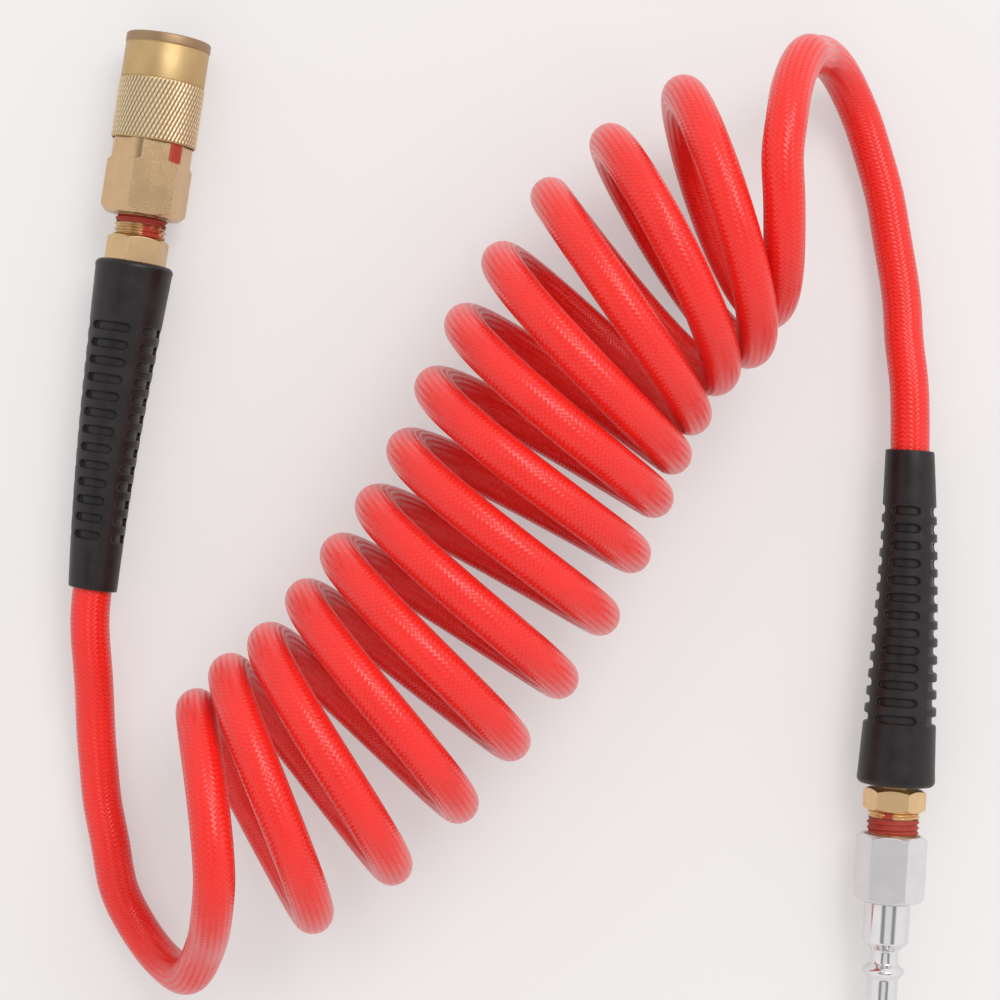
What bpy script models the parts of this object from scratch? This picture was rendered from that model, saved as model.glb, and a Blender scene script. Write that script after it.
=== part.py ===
# Coiled air hose lying on a table: a quick coupler on one end of the hose, a swivelling plug on the other.
# The table is the plane z = 0. Every fitting is built along its own +Z and stood in place by an empty.
# Its stations count from a mark at the open end of its rubber boot: towards the fitting is plus, towards the
# hose minus.

import math

import bmesh
import bpy
import numpy as np
from mathutils import Matrix, Vector

MM = 0.001

# general
seat_gap = 0.3 * MM            # between two pieces that touch
merge_distance = 0.005 * MM
round_sides = 24
small_sides = 20
stub_sides = 12
cut_margin = 5 * MM            # how far a cutter stands past what it cuts

# hose
hose_diameter = 10 * MM
hose_bore = 6.5 * MM
coil_radius = 30.8 * MM        # of the hose's centreline
points_in_turn = 24
tail_spacing = 20 * MM         # between the points of a tail
least_hose_gap = 0.4 * MM

# where the coil's axis runs: turn, x, y, how far each loop faces round (degrees), lean of the loop's top
coil_stations = (
    (0.25, -69.9, -82.8, 79.9, 0.08),
    (0.60, -64.4, -79.9, 70.9, 0.10),
    (1.00, -58.4, -73.8, 67.0, 0.07),
    (1.60, -50.3, -68.9, 59.2, 0.05),
    (2.50, -37.6, -58.9, 50.5, 0.05),
    (4.00, -20.6, -39.2, 41.5, 0.02),
    (6.00, -1.0, -11.5, 33.7, -0.04),
    (8.00, 12.7, 18.2, 35.1, -0.07),
    (10.00, 26.7, 43.9, 48.2, -0.04),
    (11.25, 39.5, 59.0, 58.1, 0.06),
    (12.25, 51.8, 67.8, 67.3, 0.09),
    (12.80, 59.0, 74.8, 76.7, 0.12),
    (13.25, 66.4, 81.5, 86.0, 0.00),
)

# the hose's way over the table, chosen point by point, millimetres
coupler_tail_route = (
    (-104.8, -42.6, 9.9),
    (-104.6, -51.6, 7.8),
    (-104.4, -60.8, 6.6),
    (-103.8, -69.3, 5.9),
    (-102.9, -78.3, 5.7),
)
coupler_bend_route = (
    (-100.7, -89.3, 6.3),
    (-98.7, -100.6, 5.4),
    (-95.2, -108.3, 5.1),
    (-89.8, -115.4, 8.0),
    (-82.4, -120.0, 16.5),
    (-76.6, -117.7, 28.7),
    (-72.5, -110.1, 39.8),
    (-69.7, -103.1, 53.0),
    (-68.1, -96.2, 61.2),
    (-67.3, -89.0, 65.3),
)
plug_bend_route = (
    (67.3, 88.4, 65.4),
    (68.5, 94.8, 62.2),
    (71.1, 102.6, 55.2),
    (74.8, 108.2, 45.8),
    (78.1, 110.0, 33.8),
    (80.4, 111.7, 25.7),
    (85.7, 110.4, 15.0),
    (90.8, 104.1, 8.0),
    (94.5, 96.3, 5.4),
    (96.7, 89.4, 5.1),
    (99.7, 78.5, 5.0),
)
plug_tail_route = (
    (101.3, 69.5, 5.0),
    (102.9, 59.8, 5.3),
    (104.0, 50.4, 6.2),
    (104.3, 41.2, 7.6),
    (105.2, 31.4, 9.2),
)

# where the two rows of fittings lie: the boot's open face on the table, and the way the fitting points
coupler_face = (-93.5 * MM, 62.4 * MM)
coupler_heading = 8.7          # degrees from +Y towards +X
plug_face = (101.7 * MM, -73.2 * MM)
plug_heading = 183.7
coupler_boot_sweep = -1.9 * MM  # how far the boot's thin end bends sideways
plug_boot_sweep = -1.8 * MM

# rubber boot
boot_length = 86 * MM
boot_wide_diameter = 20 * MM
boot_thin_diameter = 12.5 * MM
boot_edge = 1.2 * MM
boot_straight = 30 * MM        # the length that the ferrule keeps straight
boot_bend_count = 5            # steps of the part that can bend
boot_sides = 24
boot_recess_depth = 2.0 * MM
coupler_boot_set_back = 1.6 * MM  # of its open face from station 0, with the sunk hex
slot_count = 13
slot_rows = 4
slot_pitch = 4.45 * MM
slot_width = 2.2 * MM
slot_depth = 0.9 * MM
coupler_slot_first = 18.8 * MM  # from station 0 to the first slot
plug_slot_first = 17.1 * MM
slot_wide_length = 10.6 * MM
slot_thin_length = 7.0 * MM
coupler_slot_turn = -17.0      # degrees that the upper row is turned from straight up
plug_slot_turn = 17.0

# crimped end of the hose, the same at both ends
ferrule_wall = 1.6 * MM
ferrule_length = 22 * MM
ferrule_set_back = 3.8 * MM
barb_count = 4
barb_height = 0.3 * MM
stem_bore = 4.4 * MM
stem_collar_diameter = 10 * MM
stem_collar_length = 2.2 * MM

# thread between hose end and coupler or plug, and the sealant on it
thread_diameter = 13.3 * MM
thread_depth = 0.6 * MM
thread_pitch = 1.41 * MM
thread_core_diameter = 11.4 * MM
thread_engaged = 6.0 * MM
end_hex_flats = 14.0 * MM
fixed_hex_length = 7.9 * MM
nut_hex_length = 5.7 * MM
hex_chamfer = 0.8 * MM

# coupler end
fixed_hex_sunk = 2.9 * MM      # below station 0, into the boot's recess
coupler_bare_thread = 5.5 * MM
coupler_sealant_length = 1.9 * MM
coupler_hex_flats = 19.05 * MM
coupler_hex_length = 13.0 * MM
coupler_hex_turn = 47.0        # degrees from a corner straight up
fixed_hex_turn = 51.0
adapter_neck_gap = 0.3 * MM    # between the neck and the sleeve's skirt
adapter_neck_length = 6.5 * MM
adapter_web = 1.5 * MM
adapter_web_bore = 6.4 * MM
thread_bore_spare = 1.5 * MM   # empty thread past the hose end's nose
barrel_diameter = 14.6 * MM
barrel_spigot_diameter = 15.2 * MM
barrel_flange_proud = 1.9 * MM # past the barrel's outside
barrel_flange_thickness = 0.8 * MM
barrel_length = 25.7 * MM      # from its flange's seat to the mouth
socket_bore = 12.2 * MM
socket_depth = 21.5 * MM
socket_mouth_chamfer = 0.3 * MM
valve_chamber_bore = 11.6 * MM
seal_lip_bore = 9.2 * MM
seal_lip = 1.2 * MM
seal_bore = 8.2 * MM
seal_length = 2.6 * MM
valve_head_diameter = 10.4 * MM
valve_head_length = 2.2 * MM
valve_nose_diameter = 7.2 * MM
valve_nose_length = 0.8 * MM
valve_stem_diameter = 4.4 * MM
valve_stem_length = 3.0 * MM
valve_travel = 4.0 * MM
valve_spring_wire = 0.8 * MM
valve_spring_radius = 3.9 * MM
valve_spring_turns = 2.5
ball_proud = 0.15 * MM         # how far a ball at rest stands past the barrel's outside
ball_count = 4
ball_depth = 12.2 * MM         # from the mouth to the plane of the balls
ball_reach = 3.65 * MM         # from the axis to the nearest point of a ball
ball_travel = 1.8 * MM
sleeve_travel = 5.0 * MM
sleeve_stop_room = 0.9 * MM    # left above the hex when the sleeve is pulled back
sleeve_length = 27.2 * MM
sleeve_wall = 1.1 * MM         # around the recess that the balls move out into
sleeve_knurl_proud = 0.2 * MM  # past the smooth part
sleeve_lip_proud = 0.15 * MM
sleeve_skirt_wall = 0.45 * MM
sleeve_knurl_length = 15.7 * MM
sleeve_lip_length = 2.4 * MM
sleeve_lip_groove = 0.35 * MM
sleeve_land_gap = 0.35 * MM    # between the balls and the land that holds them in
sleeve_land_length = 2.8 * MM
sleeve_recess_length = 2.2 * MM
sleeve_collar_gap = 0.4 * MM   # between the collar and the barrel
sleeve_spring_wire = 0.9 * MM
sleeve_spring_gap = 0.85 * MM  # between the spring and the barrel
sleeve_spring_turns = 3.25
spring_points = 10
ring_thickness = 0.9 * MM
ring_groove_depth = 0.6 * MM
ring_set_back = 0.75 * MM      # from the mouth to the ring
ring_split = 3.0 * MM

# plug end
swivel_neck_seen = 1.0 * MM
swivel_neck_diameter = 6.2 * MM
swivel_web = 2.5 * MM
swivel_cavity_bore = 9.0 * MM
swivel_head_length = 5.4 * MM
swivel_head_diameter = 8.4 * MM
oring_wire = 0.8 * MM
oring_groove_length = 1.7 * MM
clip_thickness = 0.8 * MM
clip_bore = 7.0 * MM
clip_groove_depth = 0.6 * MM
plug_bare_thread = 6.1 * MM
plug_sealant_length = 3.9 * MM
plug_hex_flats = 15.88 * MM
plug_hex_turn = 42.0
nut_hex_turn = 42.0
plug_hex_length = 17.1 * MM
plug_thread_room = 4.0 * MM
plug_bore = 5.0 * MM
plug_shank_diameter = 11.8 * MM
plug_shank_length = 10.6 * MM
plug_shoulder_length = 1.7 * MM
plug_neck_diameter = 7.1 * MM
plug_neck_length = 4.0 * MM
plug_ring_diameter = 10.8 * MM
plug_ring_length = 3.3 * MM
plug_ring_crest = 0.8 * MM
plug_tip_diameter = 7.85 * MM
plug_tip_length = 12.5 * MM
plug_tip_chamfer = 0.5 * MM

# sizes worked out from the ones above
hose_radius = hose_diameter / 2
ferrule_bore = hose_diameter + 2 * seat_gap
ferrule_diameter = ferrule_bore + 2 * ferrule_wall
boot_ferrule_bore = ferrule_diameter + 2 * seat_gap
boot_hose_bore = hose_diameter + 2 * seat_gap
end_hex_corners = end_hex_flats / math.cos(math.radians(30))
boot_recess_bore = end_hex_corners + 2 * seat_gap
stem_diameter = hose_bore - 2 * seat_gap
thread_bore = thread_diameter + 2 * seat_gap
plug_height = boot_wide_diameter / 2
barrel_flange_diameter = barrel_diameter + 2 * barrel_flange_proud
ball_diameter = barrel_diameter / 2 + ball_proud - ball_reach
ball_hole_diameter = ball_diameter + 2 * seat_gap
ball_rest = ball_reach + ball_diameter / 2
land_radius = ball_reach + ball_diameter + sleeve_land_gap
recess_radius = land_radius + ball_travel
sleeve_smooth_diameter = 2 * (recess_radius + sleeve_wall)
sleeve_knurl_diameter = sleeve_smooth_diameter + 2 * sleeve_knurl_proud
sleeve_lip_diameter = sleeve_smooth_diameter + 2 * sleeve_lip_proud
sleeve_skirt_bore = sleeve_knurl_diameter - 2 * sleeve_skirt_wall
adapter_neck_diameter = sleeve_skirt_bore - 2 * adapter_neck_gap
sleeve_collar_bore = barrel_diameter + 2 * sleeve_collar_gap
sleeve_spring_radius = barrel_diameter / 2 + sleeve_spring_gap + sleeve_spring_wire / 2
ring_diameter = barrel_flange_diameter
coupler_height = sleeve_knurl_diameter / 2

# stations of the coupler end
fixed_hex_top = fixed_hex_length - fixed_hex_sunk
adapter_base = fixed_hex_top + coupler_bare_thread
fixed_end_top = adapter_base + thread_engaged
adapter_web_base = fixed_end_top + thread_bore_spare
adapter_web_top = adapter_web_base + adapter_web
adapter_hex_top = adapter_base + coupler_hex_length
adapter_top = adapter_hex_top + adapter_neck_length
flange_base = adapter_top + seat_gap
flange_top = flange_base + barrel_flange_thickness
barrel_top = flange_base + barrel_length
barrel_base = adapter_web_top + seat_gap
socket_floor = barrel_top - socket_depth
seal_shoulder = socket_floor - seal_lip
seal_top = seal_shoulder - seat_gap
valve_head_top = seal_top - seal_length - seat_gap
valve_head_base = valve_head_top - valve_head_length
ball_plane = barrel_top - ball_depth
sleeve_base = adapter_hex_top + sleeve_travel + sleeve_stop_room
sleeve_top = sleeve_base + sleeve_length
ramp_top = ball_plane + sleeve_travel
land_base = ball_plane - sleeve_land_length
collar_base = ramp_top + sleeve_recess_length
ring_top = barrel_top - ring_set_back
ring_base = ring_top - ring_thickness
collar_top = ring_base - seat_gap

# stations of the plug end
nut_base = swivel_neck_seen
nut_web_top = nut_base + swivel_web
nut_hex_top = nut_base + nut_hex_length
plug_base = nut_hex_top + plug_bare_thread
nut_top = plug_base + thread_engaged
swivel_head_base = nut_web_top + seat_gap
swivel_head_top = swivel_head_base + swivel_head_length
clip_base = swivel_head_top + seat_gap
clip_top = clip_base + clip_thickness
plug_thread_end = nut_top + plug_thread_room
plug_hex_top = plug_base + plug_hex_length
plug_shank_top = plug_hex_top + plug_shank_length
plug_neck_base = plug_shank_top + plug_shoulder_length
plug_ring_base = plug_neck_base + plug_neck_length
plug_ring_top = plug_ring_base + plug_ring_length
plug_top = plug_ring_top + plug_tip_length

# colour, metallic, roughness
finishes = {
    "red_tube": ((0.80, 0.03, 0.03), 0.0, 0.25),
    "black_rubber": ((0.035, 0.033, 0.035), 0.0, 0.55),
    "brass": ((0.72, 0.52, 0.27), 1.0, 0.35),
    "bright_steel": ((0.75, 0.75, 0.77), 1.0, 0.15),
    "spring_steel": ((0.45, 0.45, 0.47), 1.0, 0.35),
    "red_sealant": ((0.50, 0.07, 0.06), 0.0, 0.6),
    "seal_rubber": ((0.05, 0.05, 0.05), 0.0, 0.5),
}


def clear_scene():
    for old in list(bpy.data.objects):
        bpy.data.objects.remove(old, do_unlink=True)


def new_collection(name):
    made = bpy.data.collections.new(name)
    bpy.context.scene.collection.children.link(made)
    return made


def make_materials():
    made = {}
    for name, (colour, metallic, roughness) in finishes.items():
        material = bpy.data.materials.new(name)
        material.use_nodes = True
        shader = material.node_tree.nodes["Principled BSDF"]
        shader.inputs["Base Color"].default_value = (*colour, 1.0)
        shader.inputs["Metallic"].default_value = metallic
        shader.inputs["Roughness"].default_value = roughness
        material.diffuse_color = (*colour, 1.0)
        made[name] = material
    return made


def add_object(name, data, collection, parent=None):
    made = bpy.data.objects.new(name, data)
    collection.objects.link(made)
    made.parent = parent
    return made


def add_axis(name, face, heading, height):
    """An empty on the table whose +Z points along a fitting and whose +Y points up."""
    turn = math.radians(heading)
    along = Vector((math.sin(turn), math.cos(turn), 0))
    up = Vector((0, 0, 1))
    basis = Matrix((up.cross(along), up, along)).transposed().to_4x4()
    axis = add_object(name, None, guides)
    axis.matrix_world = Matrix.Translation((*face, height)) @ basis
    return axis


def smooth(thing, material):
    thing.data.materials.append(material)
    return thing


def shade_round(mesh):
    mesh.shade_smooth()
    mesh.set_sharp_from_angle(angle=math.radians(35))


def turned(name, profile, collection, parent=None, sides=round_sides):
    """A closed profile of (radius, station) points, outer side first from top to bottom, turned about Z."""
    mesh = bpy.data.meshes.new(name)
    count = len(profile)
    edges = [(i, (i + 1) % count) for i in range(count)]
    if profile[0][0] == 0:
        edges.pop()
    mesh.from_pydata([(radius, 0, station) for radius, station in profile], edges, [])
    made = add_object(name, mesh, collection, parent)
    screw = made.modifiers.new("Turn", "SCREW")
    screw.steps = sides
    screw.render_steps = sides
    screw.use_merge_vertices = True
    screw.merge_threshold = merge_distance
    screw.use_smooth_shade = True
    return made


def cut(thing, cutter, operation="DIFFERENCE"):
    boolean = thing.modifiers.new(operation.title(), "BOOLEAN")
    boolean.object = cutter
    boolean.operation = operation
    boolean.solver = "EXACT"
    return boolean


def hide_cutter(thing):
    thing.hide_render = True
    thing.display_type = "WIRE"
    return thing


def hex_prism(name, flats, base, top, turn, parent):
    """A six-sided bar that trims a turned blank to its spanner flats."""
    mesh = bpy.data.meshes.new(name)
    bar = bmesh.new()
    corners = flats / math.cos(math.radians(30))
    spin = Matrix.Rotation(math.radians(turn), 4, "Z")
    place = Matrix.Translation((0, 0, (base + top) / 2)) @ spin
    bmesh.ops.create_cone(
        bar, cap_ends=True, segments=6, radius1=corners / 2, radius2=corners / 2, depth=top - base, matrix=place
    )
    bar.to_mesh(mesh)
    bar.free()
    return hide_cutter(add_object(name, mesh, cutters, parent))


def ridges(top, base, crest, depth):
    """Thread crests between two stations, as points of a turned profile from the top down."""
    count = max(1, round((top - base) / thread_pitch))
    pitch = (top - base) / count
    points = []
    for i in range(count):
        points.append((crest - depth, top - i * pitch))
        points.append((crest, top - (i + 0.5) * pitch))
    points.append((crest - depth, base))
    return points


def barbs(top, base):
    """The hose barbs on a stem, as points of a turned profile from the top down."""
    pitch = (top - base) / barb_count
    crest = stem_diameter / 2
    points = []
    for i in range(barb_count):
        points.append((crest, top - i * pitch))
        points.append((crest - barb_height, top - (i + 1) * pitch + pitch * 0.1))
    points.append((crest - barb_height, base))
    return points


def stem_points(collar_top):
    """The crimped stem below a hose end: collar, barbs and the end of its bore."""
    collar_base = -ferrule_set_back + seat_gap
    stem_base = -ferrule_set_back - ferrule_length
    collar = stem_collar_diameter / 2
    return [
        (collar, collar_top),
        (collar, collar_base),
        *barbs(collar_base, stem_base),
        (stem_bore / 2, stem_base),
    ]


def hex_points(flats, top, base):
    """The chamfered outer side of a hex blank, from the top down."""
    corner = flats / math.cos(math.radians(30)) / 2
    rim = flats / 2 - hex_chamfer / 4
    return [
        (rim, top),
        (corner, top - hex_chamfer),
        (corner, base + hex_chamfer),
        (rim, base),
    ]


def evaluated_copy(source, name, collection, parent):
    """A plain mesh object with the source's modifiers baked in, in the source's own frame."""
    bpy.context.view_layer.update()
    graph = bpy.context.evaluated_depsgraph_get()
    mesh = bpy.data.meshes.new_from_object(source.evaluated_get(graph))
    made = add_object(name, mesh, collection, parent)
    bpy.data.objects.remove(source, do_unlink=True)
    return made


def sweep_offset(station, sweep):
    """How far a boot's axis has bent sideways at a station."""
    free = boot_length - boot_straight
    past = max(0.0, -station - boot_straight)
    return sweep * (past / free) ** 2


def bending_stations():
    """Stations down the part of a boot that can bend, from where it starts to the thin end."""
    step = (boot_length - boot_straight) / boot_bend_count
    return [-boot_straight - i * step for i in range(boot_bend_count + 1)]


def bend_sideways(thing, sweep):
    for vertex in thing.data.vertices:
        vertex.co.x += sweep_offset(vertex.co.z, sweep)


def boot_radius(station):
    """The boot's outer radius, which tapers evenly from its open face to its thin end."""
    share = -station / boot_length
    return (boot_wide_diameter + (boot_thin_diameter - boot_wide_diameter) * share) / 2


def slot_cutter(name, turn, first, parent):
    """All the slots of a boot as one cutter: shallow boxes in straight rows."""
    mesh = bpy.data.meshes.new(name)
    boxes = bmesh.new()
    for row in range(slot_rows):
        spin = Matrix.Rotation(math.radians(turn + 90 + row * 360 / slot_rows), 4, "Z")
        for i in range(slot_count):
            share = i / (slot_count - 1)
            length = slot_wide_length + (slot_thin_length - slot_wide_length) * share
            station = -first - i * slot_pitch
            floor = boot_radius(station) - slot_depth
            place = spin @ Matrix.Translation((floor + cut_margin / 2, 0, station))
            size = Matrix.Diagonal((cut_margin, length, slot_width, 1))
            bmesh.ops.create_cube(boxes, size=1, matrix=place @ size)
    boxes.to_mesh(mesh)
    boxes.free()
    return hide_cutter(add_object(name, mesh, cutters, parent))


def make_boot(name, axis, face, slot_turn, slot_first, sweep):
    """The rubber bend relief: a tapered sleeve with a recess, a ferrule bore, a hose bore and rows of slots."""
    stations = bending_stations()
    shoulder = -ferrule_set_back - ferrule_length - seat_gap
    profile = [
        (boot_wide_diameter / 2 - boot_edge, face),
        (boot_wide_diameter / 2, face - boot_edge),
        *[(boot_radius(station), station) for station in stations[:-1]],
        (boot_thin_diameter / 2, -boot_length + boot_edge / 2),
        (boot_thin_diameter / 2 - boot_edge / 2, -boot_length),
        *[(boot_hose_bore / 2, station) for station in reversed(stations)],
        (boot_hose_bore / 2, shoulder - ferrule_wall),
        (boot_ferrule_bore / 2, shoulder),
        (boot_ferrule_bore / 2, face - boot_recess_depth),
        (boot_recess_bore / 2, face - boot_recess_depth),
        (boot_recess_bore / 2, face),
    ]
    blank = turned(name + "_blank", profile, parts, axis, boot_sides)
    cut(blank, slot_cutter(name + "_slots", slot_turn, slot_first, axis))
    boot = evaluated_copy(blank, name, parts, axis)
    bend_sideways(boot, sweep)
    shade_round(boot.data)
    return smooth(boot, materials["black_rubber"])


def make_stub(name, axis, sweep):
    """The end of the hose inside a boot, from the ferrule to the boot's thin end."""
    stations = [-ferrule_set_back, *bending_stations()]
    outer = [(hose_radius, station) for station in stations]
    inner = [(hose_bore / 2, station) for station in reversed(stations)]
    blank = turned(name + "_blank", outer + inner, parts, axis, stub_sides)
    stub = evaluated_copy(blank, name, parts, axis)
    bend_sideways(stub, sweep)
    return smooth(stub, materials["red_tube"])


def make_ferrule(name, axis):
    top = -ferrule_set_back
    base = top - ferrule_length
    outer = ferrule_diameter / 2
    profile = [
        (outer - ferrule_wall / 4, top),
        (outer, top - ferrule_wall / 4),
        (outer, base + ferrule_wall / 4),
        (outer - ferrule_wall / 4, base),
        (ferrule_bore / 2, base),
        (ferrule_bore / 2, top),
    ]
    return smooth(turned(name, profile, parts, axis, small_sides), materials["brass"])


def make_sealant(name, axis, top, length):
    """The red sealant band laid over a thread."""
    inner = thread_core_diameter / 2 + seat_gap
    base = top - length
    profile = [(inner, top), *ridges(top, base, thread_diameter / 2, thread_depth / 2), (inner, base)]
    return smooth(turned(name, profile, parts, axis, small_sides), materials["red_sealant"])


def make_fixed_hose_end(axis):
    """The coupler side's brass hose end: nose, thread, hex and crimped stem, one bore through all."""
    sealant_top = adapter_base - seat_gap
    sealant_base = sealant_top - coupler_sealant_length
    core = thread_core_diameter / 2
    nose = thread_diameter / 2 - thread_depth / 4
    profile = [
        (nose - thread_depth, fixed_end_top),
        (nose, fixed_end_top - thread_depth),
        (nose, sealant_top + seat_gap),
        (core, sealant_top + seat_gap),
        (core, sealant_base - seat_gap),
        *ridges(sealant_base - seat_gap, fixed_hex_top, thread_diameter / 2, thread_depth),
        *hex_points(end_hex_flats, fixed_hex_top, -fixed_hex_sunk),
        *stem_points(-fixed_hex_sunk),
        (stem_bore / 2, fixed_end_top),
    ]
    made = turned("fixed_hose_end", profile, parts, axis)
    trim = hex_prism("fixed_hex", end_hex_flats, -boot_length, fixed_end_top + cut_margin, fixed_hex_turn, axis)
    cut(made, trim, "INTERSECT")
    return smooth(made, materials["brass"])


def make_adapter(axis):
    """The coupler's hex rear body, with the hose thread behind and the barrel's seat in front."""
    corner = coupler_hex_flats / math.cos(math.radians(30)) / 2
    neck = adapter_neck_diameter / 2
    seat = barrel_spigot_diameter / 2 + seat_gap
    profile = [
        (neck - hex_chamfer, adapter_top),
        (neck, adapter_top - hex_chamfer),
        (neck, adapter_hex_top + hex_chamfer),
        (corner, adapter_hex_top),
        (corner, adapter_base + 2 * hex_chamfer),
        (corner - 2 * hex_chamfer, adapter_base),
        (thread_bore / 2 + thread_depth, adapter_base),
        (thread_bore / 2, adapter_base + thread_depth),
        (thread_bore / 2, adapter_web_base),
        (adapter_web_bore / 2, adapter_web_base),
        (adapter_web_bore / 2, adapter_web_top),
        (seat, adapter_web_top),
        (seat, adapter_top),
    ]
    made = turned("coupler_adapter", profile, parts, axis)
    trim = hex_prism("adapter_hex", coupler_hex_flats, adapter_base - cut_margin, adapter_top + cut_margin,
                     coupler_hex_turn, axis)
    cut(made, trim, "INTERSECT")
    return smooth(made, materials["brass"])


def ball_holes(axis):
    """The radial holes that carry the locking balls, as one cutter of separate bars."""
    mesh = bpy.data.meshes.new("ball_holes")
    bars = bmesh.new()
    inner = socket_bore / 2 - 2 * ball_hole_diameter / 3
    outer = barrel_diameter / 2 + ball_hole_diameter / 2
    for i in range(ball_count):
        spin = Matrix.Rotation(i * 2 * math.pi / ball_count, 4, "Z")
        lay = Matrix.Rotation(math.pi / 2, 4, "Y")
        place = spin @ Matrix.Translation(((inner + outer) / 2, 0, ball_plane)) @ lay
        bmesh.ops.create_cone(
            bars, cap_ends=True, segments=16, radius1=ball_hole_diameter / 2, radius2=ball_hole_diameter / 2,
            depth=outer - inner, matrix=place
        )
    bars.to_mesh(mesh)
    bars.free()
    return hide_cutter(add_object("ball_holes", mesh, cutters, axis))


def make_barrel(axis):
    """The coupler's front tube: it holds the valve and its seal, the balls and the socket that takes a plug."""
    body = barrel_diameter / 2
    groove = body - ring_groove_depth
    spigot = barrel_spigot_diameter / 2
    chamber = valve_chamber_bore / 2
    socket = socket_bore / 2
    profile = [
        (body, barrel_top),
        (body, ring_top + seat_gap),
        (groove, ring_top + seat_gap),
        (groove, ring_base - seat_gap),
        (body, ring_base - seat_gap),
        (body, flange_top),
        (barrel_flange_diameter / 2, flange_top),
        (barrel_flange_diameter / 2, flange_base),
        (spigot, flange_base),
        (spigot, barrel_base),
        (chamber, barrel_base),
        (chamber, seal_shoulder),
        (seal_lip_bore / 2, seal_shoulder),
        (seal_lip_bore / 2, socket_floor),
        (socket, socket_floor),
        (socket, barrel_top - socket_mouth_chamfer),
        (socket + socket_mouth_chamfer, barrel_top),
    ]
    made = turned("coupler_barrel", profile, parts, axis)
    cut(made, ball_holes(axis))
    return smooth(made, materials["brass"])


def make_sleeve(axis):
    """The knurled sleeve: its inner ramp lets the balls out as it is pulled back towards the hose."""
    lip = sleeve_lip_diameter / 2
    smooth_part = sleeve_smooth_diameter / 2
    knurl = sleeve_knurl_diameter / 2
    skirt = sleeve_skirt_bore / 2
    knurl_top = sleeve_base + sleeve_knurl_length
    lip_base = sleeve_top - sleeve_lip_length
    profile = [
        (lip - sleeve_lip_groove, sleeve_top),
        (lip, sleeve_top - sleeve_lip_groove),
        (lip, lip_base),
        (smooth_part, lip_base - sleeve_lip_groove),
        (smooth_part, knurl_top),
        (knurl, knurl_top - sleeve_lip_groove),
        (knurl, sleeve_base + sleeve_lip_groove),
        (knurl - sleeve_lip_groove, sleeve_base),
        (skirt, sleeve_base),
        (skirt, land_base),
        (land_radius, land_base),
        (land_radius, ball_plane),
        (recess_radius, ramp_top),
        (recess_radius, collar_base),
        (sleeve_collar_bore / 2, collar_base),
        (sleeve_collar_bore / 2, collar_top),
        (recess_radius, collar_top),
        (recess_radius, sleeve_top),
    ]
    return smooth(turned("coupler_sleeve", profile, parts, axis), materials["brass"])


def make_retaining_ring(axis):
    inner = barrel_diameter / 2 - ring_groove_depth + seat_gap
    outer = ring_diameter / 2
    made = turned("sleeve_retaining_ring", [(outer, ring_top), (outer, ring_base), (inner, ring_base),
                                            (inner, ring_top)], parts, axis)
    mesh = bpy.data.meshes.new("ring_split")
    box = bmesh.new()
    place = Matrix.Translation((0, outer, (ring_top + ring_base) / 2))
    size = Matrix.Diagonal((ring_split, outer, cut_margin, 1))
    bmesh.ops.create_cube(box, size=1, matrix=place @ size)
    box.to_mesh(mesh)
    box.free()
    cut(made, hide_cutter(add_object("ring_split", mesh, cutters, axis)))
    return smooth(made, materials["spring_steel"])


def make_balls(axis):
    for i in range(ball_count):
        name = f"locking_ball_{i + 1}"
        mesh = bpy.data.meshes.new(name)
        ball = bmesh.new()
        bmesh.ops.create_uvsphere(ball, u_segments=12, v_segments=8, radius=ball_diameter / 2)
        ball.to_mesh(mesh)
        ball.free()
        mesh.shade_smooth()
        made = smooth(add_object(name, mesh, parts, axis), materials["bright_steel"])
        turn = i * 2 * math.pi / ball_count
        made.location = (ball_rest * math.cos(turn), ball_rest * math.sin(turn), ball_plane)


def make_valve(axis):
    head = valve_head_diameter / 2
    nose = valve_nose_diameter / 2
    stem = valve_stem_diameter / 2
    nose_top = valve_head_top + valve_nose_length
    stem_base = valve_head_base - valve_stem_length
    profile = [
        (0, nose_top),
        (nose, nose_top),
        (nose, valve_head_top),
        (head, valve_head_top),
        (head, valve_head_base),
        (stem, valve_head_base),
        (stem, stem_base),
        (0, stem_base),
    ]
    return smooth(turned("valve_poppet", profile, parts, axis, small_sides), materials["brass"])


def make_socket_seal(axis):
    outer = valve_chamber_bore / 2 - seat_gap
    inner = seal_bore / 2
    base = seal_top - seal_length
    edge = seal_length / 5
    profile = [
        (outer - edge, seal_top),
        (outer, seal_top - edge),
        (outer, base + edge),
        (outer - edge, base),
        (inner, base),
        (inner, seal_top),
    ]
    return smooth(turned("socket_seal", profile, parts, axis, small_sides), materials["seal_rubber"])


def make_spring(name, axis, base, top, radius, wire, turns):
    """A coil spring standing between two stations, as one bent wire."""
    curve = bpy.data.curves.new(name, "CURVE")
    curve.dimensions = "3D"
    curve.bevel_depth = wire / 2
    curve.bevel_resolution = 1
    curve.use_fill_caps = True
    count = round(turns * spring_points) + 1
    spline = curve.splines.new("POLY")
    spline.points.add(count - 1)
    low = base + wire / 2 + seat_gap
    high = top - wire / 2 - seat_gap
    for i in range(count):
        share = i / (count - 1)
        turn = 2 * math.pi * turns * share
        point = (radius * math.cos(turn), radius * math.sin(turn), low + (high - low) * share)
        spline.points[i].co = (*point, 1)
    return smooth(add_object(name, curve, parts, axis), materials["spring_steel"])


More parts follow.
